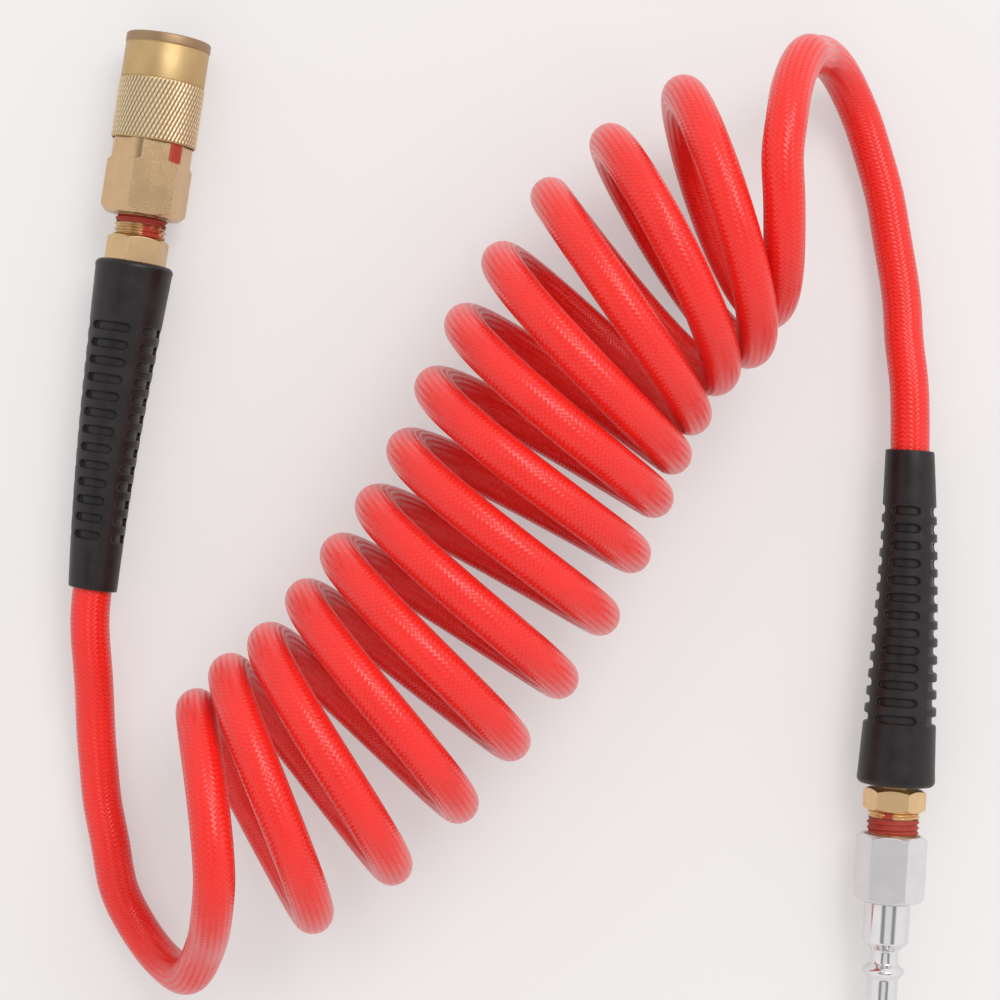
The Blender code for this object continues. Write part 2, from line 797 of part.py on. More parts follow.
def make_swivel_stem(axis):
    """The plug side's stem: crimped in the hose, it ends in the headed journal that the nut turns on."""
    head = swivel_head_diameter / 2
    neck = swivel_neck_diameter / 2
    groove = head - oring_wire - seat_gap / 2
    groove_middle = (swivel_head_base + swivel_head_top) / 2
    profile = [
        (head, swivel_head_top),
        (head, groove_middle + oring_groove_length / 2),
        (groove, groove_middle + oring_groove_length / 2),
        (groove, groove_middle - oring_groove_length / 2),
        (head, groove_middle - oring_groove_length / 2),
        (head, swivel_head_base),
        (neck, swivel_head_base),
        (neck, -seat_gap),
        *stem_points(-seat_gap),
        (stem_bore / 2, swivel_head_top),
    ]
    return smooth(turned("swivel_stem", profile, parts, axis), materials["brass"])


def make_swivel_seal(axis):
    """The seal ring in the groove of the swivel's journal."""
    groove = swivel_head_diameter / 2 - oring_wire - seat_gap / 2
    middle = groove + seat_gap / 2 + oring_wire / 2
    station = (swivel_head_base + swivel_head_top) / 2
    sides = 6
    profile = [(middle + oring_wire / 2 * math.sin(2 * math.pi * i / sides),
                station + oring_wire / 2 * math.cos(2 * math.pi * i / sides)) for i in range(sides)]
    return smooth(turned("swivel_seal", profile, parts, axis, small_sides), materials["seal_rubber"])


def make_swivel_nut(axis):
    """The hex nut with the plug's thread. It turns on the stem and is kept by the clip in its bore."""
    sealant_top = plug_base - seat_gap
    sealant_base = sealant_top - plug_sealant_length
    core = thread_core_diameter / 2
    nose = thread_diameter / 2 - thread_depth / 4
    cavity = swivel_cavity_bore / 2
    neck_hole = swivel_neck_diameter / 2 + seat_gap
    profile = [
        (nose - thread_depth, nut_top),
        (nose, nut_top - thread_depth),
        (nose, sealant_top + seat_gap),
        (core, sealant_top + seat_gap),
        (core, sealant_base - seat_gap),
        *ridges(sealant_base - seat_gap, nut_hex_top, thread_diameter / 2, thread_depth),
        *hex_points(end_hex_flats, nut_hex_top, nut_base),
        (neck_hole, nut_base),
        (neck_hole, nut_web_top),
        (cavity, nut_web_top),
        (cavity, clip_base - seat_gap / 2),
        (cavity + clip_groove_depth, clip_base - seat_gap / 2),
        (cavity + clip_groove_depth, clip_top + seat_gap),
        (cavity, clip_top + seat_gap),
        (cavity, nut_top),
    ]
    made = turned("swivel_nut", profile, parts, axis)
    trim = hex_prism("nut_hex", end_hex_flats, nut_base - cut_margin, nut_top + cut_margin, nut_hex_turn, axis)
    cut(made, trim, "INTERSECT")
    return smooth(made, materials["brass"])


def make_swivel_clip(axis):
    outer = swivel_cavity_bore / 2 + clip_groove_depth - seat_gap
    inner = clip_bore / 2
    profile = [(outer, clip_top), (outer, clip_base), (inner, clip_base), (inner, clip_top)]
    return smooth(turned("swivel_clip", profile, parts, axis, small_sides), materials["spring_steel"])


def make_plug(axis):
    """The steel plug: hex, shank, neck for the balls, locking ring and tip, bored right through."""
    tip = plug_tip_diameter / 2
    neck = plug_neck_diameter / 2
    ring = plug_ring_diameter / 2
    ring_middle = (plug_ring_base + plug_ring_top) / 2
    profile = [
        (tip - plug_tip_chamfer, plug_top),
        (tip, plug_top - plug_tip_chamfer),
        (tip, plug_ring_top),
        (ring, ring_middle + plug_ring_crest / 2),
        (ring, ring_middle - plug_ring_crest / 2),
        (neck, plug_ring_base),
        (neck, plug_neck_base),
        (plug_shank_diameter / 2, plug_shank_top),
        (plug_shank_diameter / 2, plug_hex_top),
        *hex_points(plug_hex_flats, plug_hex_top, plug_base),
        (thread_bore / 2 + thread_depth / 4, plug_base),
        (thread_bore / 2, plug_base + thread_depth),
        (thread_bore / 2, plug_thread_end - thread_depth),
        (plug_bore / 2, plug_thread_end),
        (plug_bore / 2, plug_top),
    ]
    made = turned("air_plug", profile, parts, axis)
    trim = hex_prism("plug_hex", plug_hex_flats, plug_base - cut_margin, plug_top + cut_margin, plug_hex_turn, axis)
    cut(made, trim, "INTERSECT")
    return smooth(made, materials["bright_steel"])


def spline_through(knots, values, wanted):
    """A natural cubic spline through the values at the knots, read at the wanted places."""
    knots = np.asarray(knots, float)
    values = np.asarray(values, float)
    wanted = np.asarray(wanted, float)
    step = np.diff(knots)
    count = len(knots)
    matrix = np.eye(count)
    right = np.zeros(values.shape)
    for i in range(1, count - 1):
        matrix[i, i - 1:i + 2] = step[i - 1], 2 * (step[i - 1] + step[i]), step[i]
        right[i] = 6 * ((values[i + 1] - values[i]) / step[i] - (values[i] - values[i - 1]) / step[i - 1])
    bend = np.linalg.solve(matrix, right)
    at = np.clip(np.searchsorted(knots, wanted) - 1, 0, count - 2)
    shape = (-1,) + (1,) * (values.ndim - 1)
    h = step[at].reshape(shape)
    a = ((knots[at + 1] - wanted) / step[at]).reshape(shape)
    b = 1 - a
    lift = ((a ** 3 - a) * bend[at] + (b ** 3 - b) * bend[at + 1]) * h ** 2 / 6
    return a * values[at] + b * values[at + 1] + lift


def path_lengths(points):
    steps = np.linalg.norm(np.diff(points, axis=0), axis=1)
    return np.concatenate(([0.0], np.cumsum(steps)))


def coil_points():
    """The centreline of the loops: circles on a wandering axis, advancing as they go round."""
    stations = np.array(coil_stations)
    first, last = stations[0, 0], stations[-1, 0]
    count = round((last - first) * points_in_turn) + 1
    turns = np.linspace(first, last, count)
    placed = spline_through(stations[:, 0], stations[:, 1:], turns)
    facing = np.radians(placed[:, 2])
    outward = np.stack((np.cos(facing), -np.sin(facing)), axis=1)
    along = np.stack((np.sin(facing), np.cos(facing)), axis=1)
    across = np.cos(2 * np.pi * turns)
    rise = np.sin(2 * np.pi * turns)
    flat = placed[:, :2] * MM + coil_radius * (across[:, None] * outward + (rise * placed[:, 3])[:, None] * along)
    height = hose_radius + coil_radius * (1 + rise)
    return np.column_stack((flat, height))


def boot_exit(axis, sweep):
    """Where the hose leaves a boot's thin end, and the way it heads."""
    slope = 2 * sweep / (boot_length - boot_straight)
    clear = seat_gap + hose_radius * abs(slope)
    point = axis.matrix_world @ Vector((sweep, 0, -boot_length - clear))
    heading = axis.matrix_world.to_3x3() @ Vector((slope, 0, -1)).normalized()
    return np.array(point), np.array(heading)


def hose_centreline():
    """The whole free hose from boot to boot, read every millimetre from one smooth curve."""
    start, out = boot_exit(coupler_axis, coupler_boot_sweep)
    end, home = boot_exit(plug_axis, plug_boot_sweep)
    route = np.concatenate((
        [start, start + out * hose_diameter],
        np.array(coupler_tail_route) * MM,
        np.array(coupler_bend_route) * MM,
        coil_points(),
        np.array(plug_bend_route) * MM,
        np.array(plug_tail_route) * MM,
        [end + home * hose_diameter, end],
    ))
    lengths = path_lengths(route)
    fine = np.arange(0, lengths[-1], MM)
    curve = spline_through(lengths, route, fine)
    cut_first = lengths[1 + len(coupler_tail_route)]
    cut_last = lengths[-3 - len(plug_tail_route) + 1]
    return np.vstack((curve, end)), np.append(fine, lengths[-1]), cut_first, cut_last


def read_at(curve, lengths, wanted):
    return np.column_stack([np.interp(wanted, lengths, curve[:, k]) for k in range(3)])


def make_tube(name, points, diameter, resolution):
    curve = bpy.data.curves.new(name, "CURVE")
    curve.dimensions = "3D"
    curve.bevel_depth = diameter / 2
    curve.bevel_resolution = resolution
    curve.use_fill_caps = True
    spline = curve.splines.new("POLY")
    spline.points.add(len(points) - 1)
    for i, point in enumerate(points):
        spline.points[i].co = (*point, 1)
    return smooth(add_object(name, curve, parts), materials["red_tube"])


def stretch_points(curve, lengths, first, last, spacing):
    """Points of one stretch of hose, evenly spaced, and straight for a tube diameter at both ends."""
    inner_first = first + hose_diameter
    inner_last = last - hose_diameter
    count = max(2, round((inner_last - inner_first) / spacing) + 1)
    wanted = np.concatenate(([first], np.linspace(inner_first, inner_last, count), [last]))
    points = read_at(curve, lengths, wanted)
    beyond = read_at(curve, lengths, [first + MM, last - MM])
    for end, inner, near in ((0, 1, beyond[0]), (-1, -2, beyond[1])):
        heading = (near - points[end]) / np.linalg.norm(near - points[end])
        points[inner] = points[end] + heading * hose_diameter
    return points


def least_self_gap(points):
    """The least clear distance between stretches of the tube that aren't neighbours along it."""
    lengths = path_lengths(points)
    nearest = math.inf
    for i in range(len(points)):
        apart = np.abs(lengths - lengths[i]) > 6 * hose_radius
        if apart.any():
            nearest = min(nearest, np.linalg.norm(points[apart] - points[i], axis=1).min())
    return nearest - hose_diameter


def make_hose():
    curve, lengths, first, last = hose_centreline()
    turn_spacing = 2 * math.pi * coil_radius / points_in_turn
    near_tail = stretch_points(curve, lengths, 0, first - seat_gap, tail_spacing)
    coil = stretch_points(curve, lengths, first, last, turn_spacing)
    far_tail = stretch_points(curve, lengths, last + seat_gap, lengths[-1], tail_spacing)
    make_tube("hose_tail_coupler", near_tail, hose_diameter, 2)
    make_tube("hose_coil", coil, hose_diameter, 1)
    make_tube("hose_tail_plug", far_tail, hose_diameter, 2)
    inside = 2 * (boot_length - ferrule_set_back)
    gap = least_self_gap(curve)
    print(f"free hose {lengths[-1]:.3f} m, whole hose {lengths[-1] + inside:.3f} m")
    print(f"least gap of the coil to itself {gap / MM:.2f} mm, wanted over {least_hose_gap / MM:.1f} mm")


def centre_on_origin():
    """Moves everything sideways so that the origin lies under the middle of the fittings."""
    bpy.context.view_layer.update()
    graph = bpy.context.evaluated_depsgraph_get()
    low = np.full(3, math.inf)
    high = np.full(3, -math.inf)
    for thing in parts.objects:
        if thing.name.startswith("hose_"):
            continue
        mesh = thing.evaluated_get(graph).to_mesh()
        corners = np.array([thing.matrix_world @ vertex.co for vertex in mesh.vertices])
        low = np.minimum(low, corners.min(axis=0))
        high = np.maximum(high, corners.max(axis=0))
    shift = Vector((-(low[0] + high[0]) / 2, -(low[1] + high[1]) / 2, 0))
    for thing in bpy.context.scene.objects:
        if thing.parent is None:
            thing.matrix_world = Matrix.Translation(shift) @ thing.matrix_world
    print(f"moved sideways by {shift.x / MM:.3f}, {shift.y / MM:.3f} mm, lowest point {low[2] / MM:.3f} mm")


clear_scene()
parts = new_collection("coiled_air_hose")
cutters = new_collection("cutters")
guides = new_collection("guides")
materials = make_materials()

coupler_axis = add_axis("coupler_axis", coupler_face, coupler_heading, coupler_height)
plug_axis = add_axis("plug_axis", plug_face, plug_heading, plug_height)

make_boot("coupler_boot", coupler_axis, -coupler_boot_set_back, coupler_slot_turn, coupler_slot_first,
          coupler_boot_sweep)
make_stub("coupler_hose_stub", coupler_axis, coupler_boot_sweep)
make_ferrule("coupler_ferrule", coupler_axis)
make_fixed_hose_end(coupler_axis)
make_sealant("coupler_thread_sealant", coupler_axis, adapter_base - seat_gap, coupler_sealant_length)
make_adapter(coupler_axis)
make_barrel(coupler_axis)
make_sleeve(coupler_axis)
make_retaining_ring(coupler_axis)
make_balls(coupler_axis)
make_spring("sleeve_spring", coupler_axis, flange_top, land_base, sleeve_spring_radius, sleeve_spring_wire,
            sleeve_spring_turns)
make_valve(coupler_axis)
make_spring("valve_spring", coupler_axis, adapter_web_top, valve_head_base, valve_spring_radius, valve_spring_wire,
            valve_spring_turns)
make_socket_seal(coupler_axis)

make_boot("plug_boot", plug_axis, 0, plug_slot_turn, plug_slot_first, plug_boot_sweep)
make_stub("plug_hose_stub", plug_axis, plug_boot_sweep)
make_ferrule("plug_ferrule", plug_axis)
make_swivel_stem(plug_axis)
make_swivel_seal(plug_axis)
make_swivel_nut(plug_axis)
make_swivel_clip(plug_axis)
make_sealant("plug_thread_sealant", plug_axis, plug_base - seat_gap, plug_sealant_length)
make_plug(plug_axis)

bpy.context.view_layer.update()
make_hose()
centre_on_origin()
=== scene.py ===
import math

import bmesh
import bpy
import numpy as np
from mathutils import Matrix, Vector


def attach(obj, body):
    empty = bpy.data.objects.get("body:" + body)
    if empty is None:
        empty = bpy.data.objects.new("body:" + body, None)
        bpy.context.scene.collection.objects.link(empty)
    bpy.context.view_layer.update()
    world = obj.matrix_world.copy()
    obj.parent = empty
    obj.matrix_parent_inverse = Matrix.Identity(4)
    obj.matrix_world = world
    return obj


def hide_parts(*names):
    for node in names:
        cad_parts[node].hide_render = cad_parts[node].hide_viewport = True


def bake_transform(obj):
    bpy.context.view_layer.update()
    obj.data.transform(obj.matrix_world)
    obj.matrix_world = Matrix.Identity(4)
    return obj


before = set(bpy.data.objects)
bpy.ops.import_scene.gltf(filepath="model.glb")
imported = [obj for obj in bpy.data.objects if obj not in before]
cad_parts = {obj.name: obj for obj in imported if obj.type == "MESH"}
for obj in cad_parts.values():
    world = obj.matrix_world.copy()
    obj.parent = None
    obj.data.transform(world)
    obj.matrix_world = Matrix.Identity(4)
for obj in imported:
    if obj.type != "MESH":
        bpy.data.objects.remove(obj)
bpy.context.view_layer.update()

mm = 0.001

print("stage 1: camera and hose")

cameraSet = {
    "spot": (-0.872, 7.677, 661.6),      # over the table, in millimetres
    "lens": 91.2,
    "sensor": 36,
    "clip": (0.01, 20),
}


def addCamera():
    bpy.ops.object.camera_add(location=tuple(v * mm for v in cameraSet["spot"]))
    camera = bpy.context.object
    camera.data.lens = cameraSet["lens"]
    camera.data.sensor_width = cameraSet["sensor"]
    camera.data.clip_start, camera.data.clip_end = cameraSet["clip"]
    bpy.context.scene.camera = camera


addCamera()
bpy.context.scene.view_settings.view_transform = "Standard"


def deselectAll():
    if bpy.context.object and bpy.context.object.mode != "OBJECT":
        bpy.ops.object.mode_set(mode="OBJECT")
    bpy.ops.object.select_all(action="DESELECT")


def makeActive(piece):
    deselectAll()
    piece.select_set(True)
    bpy.context.view_layer.objects.active = piece


def applyModifier(piece, kind, **settings):
    makeActive(piece)
    modifier = piece.modifiers.new(kind.title(), kind)
    for name, value in settings.items():
        setattr(modifier, name, value)
    bpy.ops.object.modifier_apply(modifier=modifier.name)


def copyPiece(model):
    copy = model.copy()
    copy.data = model.data.copy()
    bpy.context.scene.collection.objects.link(copy)
    return copy


def setMode(mode, select=None):
    bpy.ops.object.mode_set(mode=mode)
    if select:
        bpy.ops.mesh.select_all(action=select)


# puts a piece that was drawn at the origin in its place, shades it, gives it its material, hangs it on its body and
# hides the model's part that it stands in for
def finishPiece(piece, degrees, body, node, material, crisp=False, place=None):
    place = place or (plugPlace if body in ("plug_end", "swivel") else couplerPlace)
    makeActive(piece)
    bpy.ops.object.transform_apply(location=True, rotation=True, scale=True)
    piece.matrix_world = place
    bpy.ops.object.transform_apply(location=True, rotation=True, scale=True)
    bpy.ops.object.shade_smooth_by_angle(angle=math.radians(degrees))
    if crisp:  # the wide flats stay flat right up to their softened edges
        applyModifier(piece, "WEIGHTED_NORMAL", keep_sharp=True)
    piece.data.materials.clear()
    piece.data.materials.append(material)
    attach(piece, body)
    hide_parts(node)


# for a tube that is drawn in its place: gives it its material, hides the model's parts that it stands in for and
# bakes its placement into its mesh
def finishTube(piece, nodes, material):
    piece.data.materials.append(material)
    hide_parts(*nodes)
    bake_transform(piece)


# node helpers for the materials

def newMaterial(name, colour, roughness, metallic=0.0, **sockets):
    material = bpy.data.materials.new(name)
    material.use_nodes = True
    shader = material.node_tree.nodes["Principled BSDF"]
    shader.inputs["Base Color"].default_value = (*colour, 1)
    shader.inputs["Roughness"].default_value = roughness
    shader.inputs["Metallic"].default_value = metallic
    for socket, value in sockets.items():
        shader.inputs[socket.replace("_", " ")].default_value = value
    return material, material.node_tree, shader


def addNode(tree, kind, operation=None, inputs=None, **settings):
    node = tree.nodes.new(kind)
    if operation:
        node.operation = operation
    for name, value in settings.items():
        setattr(node, name, value)
    for name, value in (inputs or {}).items():
        if isinstance(value, bpy.types.NodeSocket):
            tree.links.new(value, node.inputs[name])
        else:
            node.inputs[name].default_value = value
    return node


def mathNode(tree, operation, first, second=None):
    inputs = {0: first}
    if second is not None:
        inputs[1] = second
    return addNode(tree, "ShaderNodeMath", operation, inputs).outputs[0]


def product(tree, value, *others):
    for other in others:
        value = mathNode(tree, "MULTIPLY", value, other)
    return value


def mixValue(tree, share, first, second):
    return addNode(tree, "ShaderNodeMix", inputs={0: share, 2: first, 3: second}).outputs[0]


def mixColour(tree, share, first, second):
    first, second = [(*c, 1) if isinstance(c, tuple) else c for c in (first, second)]
    return addNode(tree, "ShaderNodeMix", inputs={0: share, 6: first, 7: second}, data_type="RGBA").outputs[2]


def spread(tree, value, low, high, newLow, newHigh):
    return addNode(tree, "ShaderNodeMapRange", inputs={
        "Value": value, "From Min": low, "From Max": high, "To Min": newLow, "To Max": newHigh}).outputs["Result"]


def splitVector(tree, vector):
    return addNode(tree, "ShaderNodeSeparateXYZ", inputs={0: vector}).outputs


def linkShader(tree, shader, **sockets):
    for name, value in sockets.items():
        tree.links.new(value, shader.inputs[name.replace("_", " ")])


def linkBump(tree, shader, height, distance=mm, strength=1.0, socket="Normal"):
    bump = addNode(tree, "ShaderNodeBump", inputs={"Height": height, "Distance": distance, "Strength": strength})
    tree.links.new(bump.outputs[0], shader.inputs[socket])


def newGroup(name, inputs, outputs):
    group = bpy.data.node_groups.new(name, "ShaderNodeTree")
    for socketName, kind, value in inputs:
        socket = group.interface.new_socket(socketName, in_out="INPUT", socket_type=kind)
        if value is not None:
            socket.default_value = value
    for socketName in outputs:
        group.interface.new_socket(socketName, in_out="OUTPUT", socket_type="NodeSocketFloat")
    return group, group.nodes.new("NodeGroupInput").outputs, group.nodes.new("NodeGroupOutput").inputs


def placeGroup(tree, group, inputs):
    return addNode(tree, "ShaderNodeGroup", inputs=inputs, node_tree=group).outputs


noiseRange = (0.3, 0.7)     # most values of a noise lie in it


# the braid under the hose's clear jacket: strands that run both ways round the tube
def makeBraidGroup():
    group, into, out = newGroup(
        "braid",
        [("UV", "NodeSocketVector", None), ("Strands", "NodeSocketFloat", 20.0),
         ("Pitch", "NodeSocketFloat", 0.0023)],
        ["Height"],
    )
    uv = splitVector(group, into["UV"])
    around = mathNode(group, "MULTIPLY", uv[0], into["Strands"])
    along = mathNode(group, "DIVIDE", uv[1], into["Pitch"])
    strands, parities = [], []
    for operation in ("ADD", "SUBTRACT"):
        value = mathNode(group, operation, around, along)
        strands.append(mathNode(group, "SINE", product(group, mathNode(group, "FRACT", value), math.pi)))
        half = mathNode(group, "FRACT", mathNode(group, "MULTIPLY", value, 0.5))
        parities.append(mathNode(group, "GREATER_THAN", half, 0.5))
    checker = mathNode(group, "COMPARE", *parities)
    checker.node.inputs[2].default_value = 0.5
    group.links.new(mixValue(group, checker, *strands), out["Height"])
    return group


braidGroup = makeBraidGroup()

hoseLook = {
    "red": (0.96, 0.018, 0.010),
    "deepRed": (0.56, 0.005, 0.004),
    "strands": 20.0,
    "pitch": 0.00117,     # metres along the hose in which a strand moves over by its own width
    "braidBump": 0.00014,
    "coatBump": 0.45,     # share of the braid's relief that the jacket's surface keeps
    "braidDepth": 0.55,
    "cloudScale": (3, 60, 1),
    "roughness": (0.30, 0.42),
}


def makeHoseMaterial():
    material, tree, shader = newMaterial(
        "redTube", hoseLook["red"], 0.36, Coat_Weight=0.8, Coat_Roughness=0.21, Coat_IOR=1.45,
        Specular_IOR_Level=0.2,
    )
    uv = addNode(tree, "ShaderNodeUVMap", uv_map="hoseUv").outputs[0]
    height = placeGroup(tree, braidGroup, {
        "UV": uv, "Strands": hoseLook["strands"], "Pitch": hoseLook["pitch"]})["Height"]
    scaled = addNode(tree, "ShaderNodeMapping", inputs={"Vector": uv, "Scale": hoseLook["cloudScale"]}).outputs[0]
    cloudy = addNode(tree, "ShaderNodeTexNoise", inputs={"Vector": scaled, "Scale": 1.0, "Detail": 3.0}).outputs[0]
    depth = spread(tree, cloudy, *noiseRange, 0.0, hoseLook["braidDepth"])
    between = product(tree, mathNode(tree, "SUBTRACT", 1.0, height), depth)
    linkShader(tree, shader, Base_Color=mixColour(tree, between, hoseLook["red"], hoseLook["deepRed"]),
               Roughness=spread(tree, cloudy, *noiseRange, *hoseLook["roughness"]))
    linkBump(tree, shader, height, hoseLook["braidBump"])
    linkBump(tree, shader, height, hoseLook["braidBump"], hoseLook["coatBump"], "Coat Normal")
    return material


redTube = makeHoseMaterial()

# the hose's way, in millimetres from the middle of the photographed table
hoseRoute = {
    "shift": (-0.872, 7.677),
    "radius": 5.0,
    "coilRadius": 30.8,
    "boots": ((-93.5, 62.4, 8.7, 10.9, -1.9), (101.7, -73.2, 183.7, 10.0, -1.8)),  # face, heading, height, sweep
    "stations": (     # turn, middle, heading of the turn's plane, lean
        (0.25, -69.9, -82.8, 79.9, 0.08),
        (0.60, -64.4, -79.9, 70.9, 0.10),
        (1.00, -58.4, -73.8, 67.0, 0.07),
        (1.60, -50.3, -68.9, 59.2, 0.05),
        (2.50, -37.6, -58.9, 50.5, 0.05),
        (4.00, -20.6, -39.2, 41.5, 0.02),
        (6.00, -1.0, -11.5, 33.7, -0.04),
        (8.00, 12.7, 18.2, 35.1, -0.07),
        (10.00, 26.7, 43.9, 48.2, -0.04),
        (11.25, 39.5, 59.0, 58.1, 0.06),
        (12.25, 51.8, 67.8, 67.3, 0.09),
        (12.80, 59.0, 74.8, 76.7, 0.12),
        (13.25, 66.4, 81.5, 86.0, 0.00),
    ),
    "couplerTail": (
        (-104.8, -42.6, 9.9), (-104.6, -51.6, 7.8), (-104.4, -60.8, 6.6), (-103.8, -69.3, 5.9),
        (-102.9, -78.3, 5.7), (-100.7, -89.3, 6.3), (-98.7, -100.6, 5.4), (-95.2, -108.3, 5.1),
        (-89.8, -115.4, 8.0), (-82.4, -120.0, 16.5), (-76.6, -117.7, 28.7), (-72.5, -110.1, 39.8),
        (-69.7, -103.1, 53.0), (-68.1, -96.2, 61.2), (-67.3, -89.0, 65.3),
    ),
    "plugTail": (
        (67.3, 88.4, 65.4), (68.5, 94.8, 62.2), (71.1, 102.6, 55.2), (74.8, 108.2, 45.8),
        (78.1, 110.0, 33.8), (80.4, 111.7, 25.7), (85.7, 110.4, 15.0), (90.8, 104.1, 8.0),
        (94.5, 96.3, 5.4), (96.7, 89.4, 5.1), (99.7, 78.5, 5.0), (101.3, 69.5, 5.0),
        (102.9, 59.8, 5.3), (104.0, 50.4, 6.2), (104.3, 41.2, 7.6), (105.2, 31.4, 9.2),
    ),
    "pointsInTurn": 24,
    "ringStep": 1.6,
    "sides": 28,
    "tails": (0.066, 0.050),     # metres at both ends of the hose
    "pathStep": 3,
}
boot = {
    "length": 86.0,
    "straight": 30.0,
    "overlap": 2.0,              # of the free hose with the thin end
    "wide": 20.0,
    "thin": 12.5,
    "edges": (1.5, 0.5),         # rounding of the wide and the thin end
    "faces": (-1.6, 0.0),        # station of the open face, coupler side and plug side
    "recess": 2.0,
    "recessBore": 16.8,
    "ferruleBore": 14.4,
    "ferruleEnd": 26.1,
    "hoseBore": 10.5,
    "slots": 13,
    "rows": 4,
    "pitch": 4.45,
    "first": (18.8, 17.1),       # station of the first slot, the same two sides
    "slotWidth": 2.2,
    "slotDepth": 1.1,
    "slotTop": 1.6,              # how far a slot's cutter stands out of the boot
    "slotGrid": (16, 4),
    "slotRim": 0.25,
    "slotTip": 0.06,             # least share of the width, squared, that stays at a slot's ends
    "slotLengths": (11.5, 7.8),  # at the wide end and at the thin end
    "turns": (-17.0, 17.0),      # of the upper row, coupler side and plug side
    "sides": 96,
}
sweeps = [b[4] for b in hoseRoute["boots"]]


def fittingPlace(x, y, heading, height):  # a fitting's own +Z points away from the hose and its +Y up
    turn = math.radians(heading)
    along = Vector((math.sin(turn), math.cos(turn), 0))
    up = Vector((0, 0, 1))
    basis = Matrix((up.cross(along), up, along)).transposed().to_4x4()
    spot = Vector((x + hoseRoute["shift"][0], y + hoseRoute["shift"][1], height))
    return Matrix.Translation(spot * mm) @ basis


couplerPlace, plugPlace = [fittingPlace(*b[:4]) for b in hoseRoute["boots"]]


def splineThrough(knots, values, wanted):
    knots, values, wanted = np.asarray(knots, float), np.asarray(values, float), np.asarray(wanted, float)
    step = np.diff(knots)
    count = len(knots)
    matrix, right = np.eye(count), np.zeros(values.shape)
    for i in range(1, count - 1):
        matrix[i, i - 1:i + 2] = step[i - 1], 2 * (step[i - 1] + step[i]), step[i]
        right[i] = 6 * ((values[i + 1] - values[i]) / step[i] - (values[i] - values[i - 1]) / step[i - 1])
    bend = np.linalg.solve(matrix, right)
    at = np.clip(np.searchsorted(knots, wanted) - 1, 0, count - 2)
    h = step[at][:, None]
    a = (knots[at + 1] - wanted)[:, None] / h
    b = 1 - a
    return a * values[at] + b * values[at + 1] + ((a ** 3 - a) * bend[at] + (b ** 3 - b) * bend[at + 1]) * h ** 2 / 6


def runAlong(points):
    return np.concatenate(([0], np.cumsum(np.linalg.norm(np.diff(points, axis=0), axis=1))))


def coilPoints():
    stations = np.array(hoseRoute["stations"])
    radius = hoseRoute["coilRadius"]
    first, last = stations[0, 0], stations[-1, 0]
    turns = np.linspace(first, last, round((last - first) * hoseRoute["pointsInTurn"]) + 1)
    placed = splineThrough(stations[:, 0], stations[:, 1:], turns)
    facing = np.radians(placed[:, 2])
    outward = np.stack((np.cos(facing), -np.sin(facing)), axis=1)
    along = np.stack((np.sin(facing), np.cos(facing)), axis=1)
    across, rise = np.cos(2 * np.pi * turns), np.sin(2 * np.pi * turns)
    lean = rise * placed[:, 3]
    flat = placed[:, :2] + radius * (across[:, None] * outward + lean[:, None] * along)
    return np.column_stack((flat, hoseRoute["radius"] + radius * (1 + rise)))


def bootExit(place, sweep):
    free = boot["length"] - boot["straight"]
    share = 1 - boot["overlap"] / free
    slope = 2 * sweep * share / free
    point = place @ Vector((sweep * share ** 2 * mm, 0, (boot["overlap"] - boot["length"]) * mm))
    heading = place.to_3x3() @ Vector((slope, 0, -1)).normalized()
    return np.array(point) / mm - np.array((*hoseRoute["shift"], 0)), np.array(heading)


def hoseCentreline():
    start, out = bootExit(couplerPlace, sweeps[0])
    end, home = bootExit(plugPlace, sweeps[1])
    lead = 2 * hoseRoute["radius"]
    route = np.concatenate((
        [start, start + out * lead], hoseRoute["couplerTail"], coilPoints(),
        hoseRoute["plugTail"], [end + home * lead, end]))
    lengths = runAlong(route)
    count = round(lengths[-1] / hoseRoute["ringStep"])
    points = splineThrough(lengths, route, np.linspace(0, lengths[-1], count + 1))
    return (points + np.array((*hoseRoute["shift"], 0))) * mm, runAlong(points) * mm


def makeTubeMesh(name, points, run, radius, sides):
    tangents = np.gradient(points, axis=0)
    tangents /= np.linalg.norm(tangents, axis=1)[:, None]
    first = np.cross(tangents[0], (0.0, 0.0, 1.0))
    angles = np.linspace(0, 2 * np.pi, sides, endpoint=False)
    rings = []
    for point, tangent in zip(points, tangents):
        first = first - tangent * np.dot(first, tangent)
        first /= np.linalg.norm(first)
        second = np.cross(tangent, first)
        rings.append(point + radius * (np.cos(angles)[:, None] * first + np.sin(angles)[:, None] * second))
    faces, uvs = [], []
    for i in range(len(points) - 1):
        for k in range(sides):
            j = (k + 1) % sides
            faces.append((i * sides + k, i * sides + j, (i + 1) * sides + j, (i + 1) * sides + k))
            left, right = k / sides, (k + 1) / sides
            uvs += [(left, run[i]), (right, run[i]), (right, run[i + 1]), (left, run[i + 1])]
    last = len(points) - 1
    for ring, order in ((0, range(sides - 1, -1, -1)), (last, range(sides))):
        faces.append(tuple(ring * sides + k for k in order))
        uvs += [(k / sides, run[ring]) for k in order]
    mesh = bpy.data.meshes.new(name)
    mesh.from_pydata([tuple(v) for v in np.concatenate(rings)], [], faces)
    mesh.uv_layers.new(name="hoseUv").data.foreach_set("uv", np.array(uvs, np.float32).ravel())
    mesh.shade_smooth()
    mesh.set_sharp_from_angle(angle=math.radians(50))
    piece = bpy.data.objects.new(name, mesh)
    bpy.context.scene.collection.objects.link(piece)
    return piece


def makeHose():
    points, run = hoseCentreline()
    sides, (tailStart, tailEnd) = hoseRoute["sides"], hoseRoute["tails"]
    hose = makeTubeMesh("free_hose", points, run, hoseRoute["radius"] * mm, sides)
    nodes = ("hose_tail_coupler", "hose_coil", "hose_tail_plug")
    finishTube(hose, nodes, redTube)
    print(f"hose of {run[-1]:.3f} m")


makeHose()

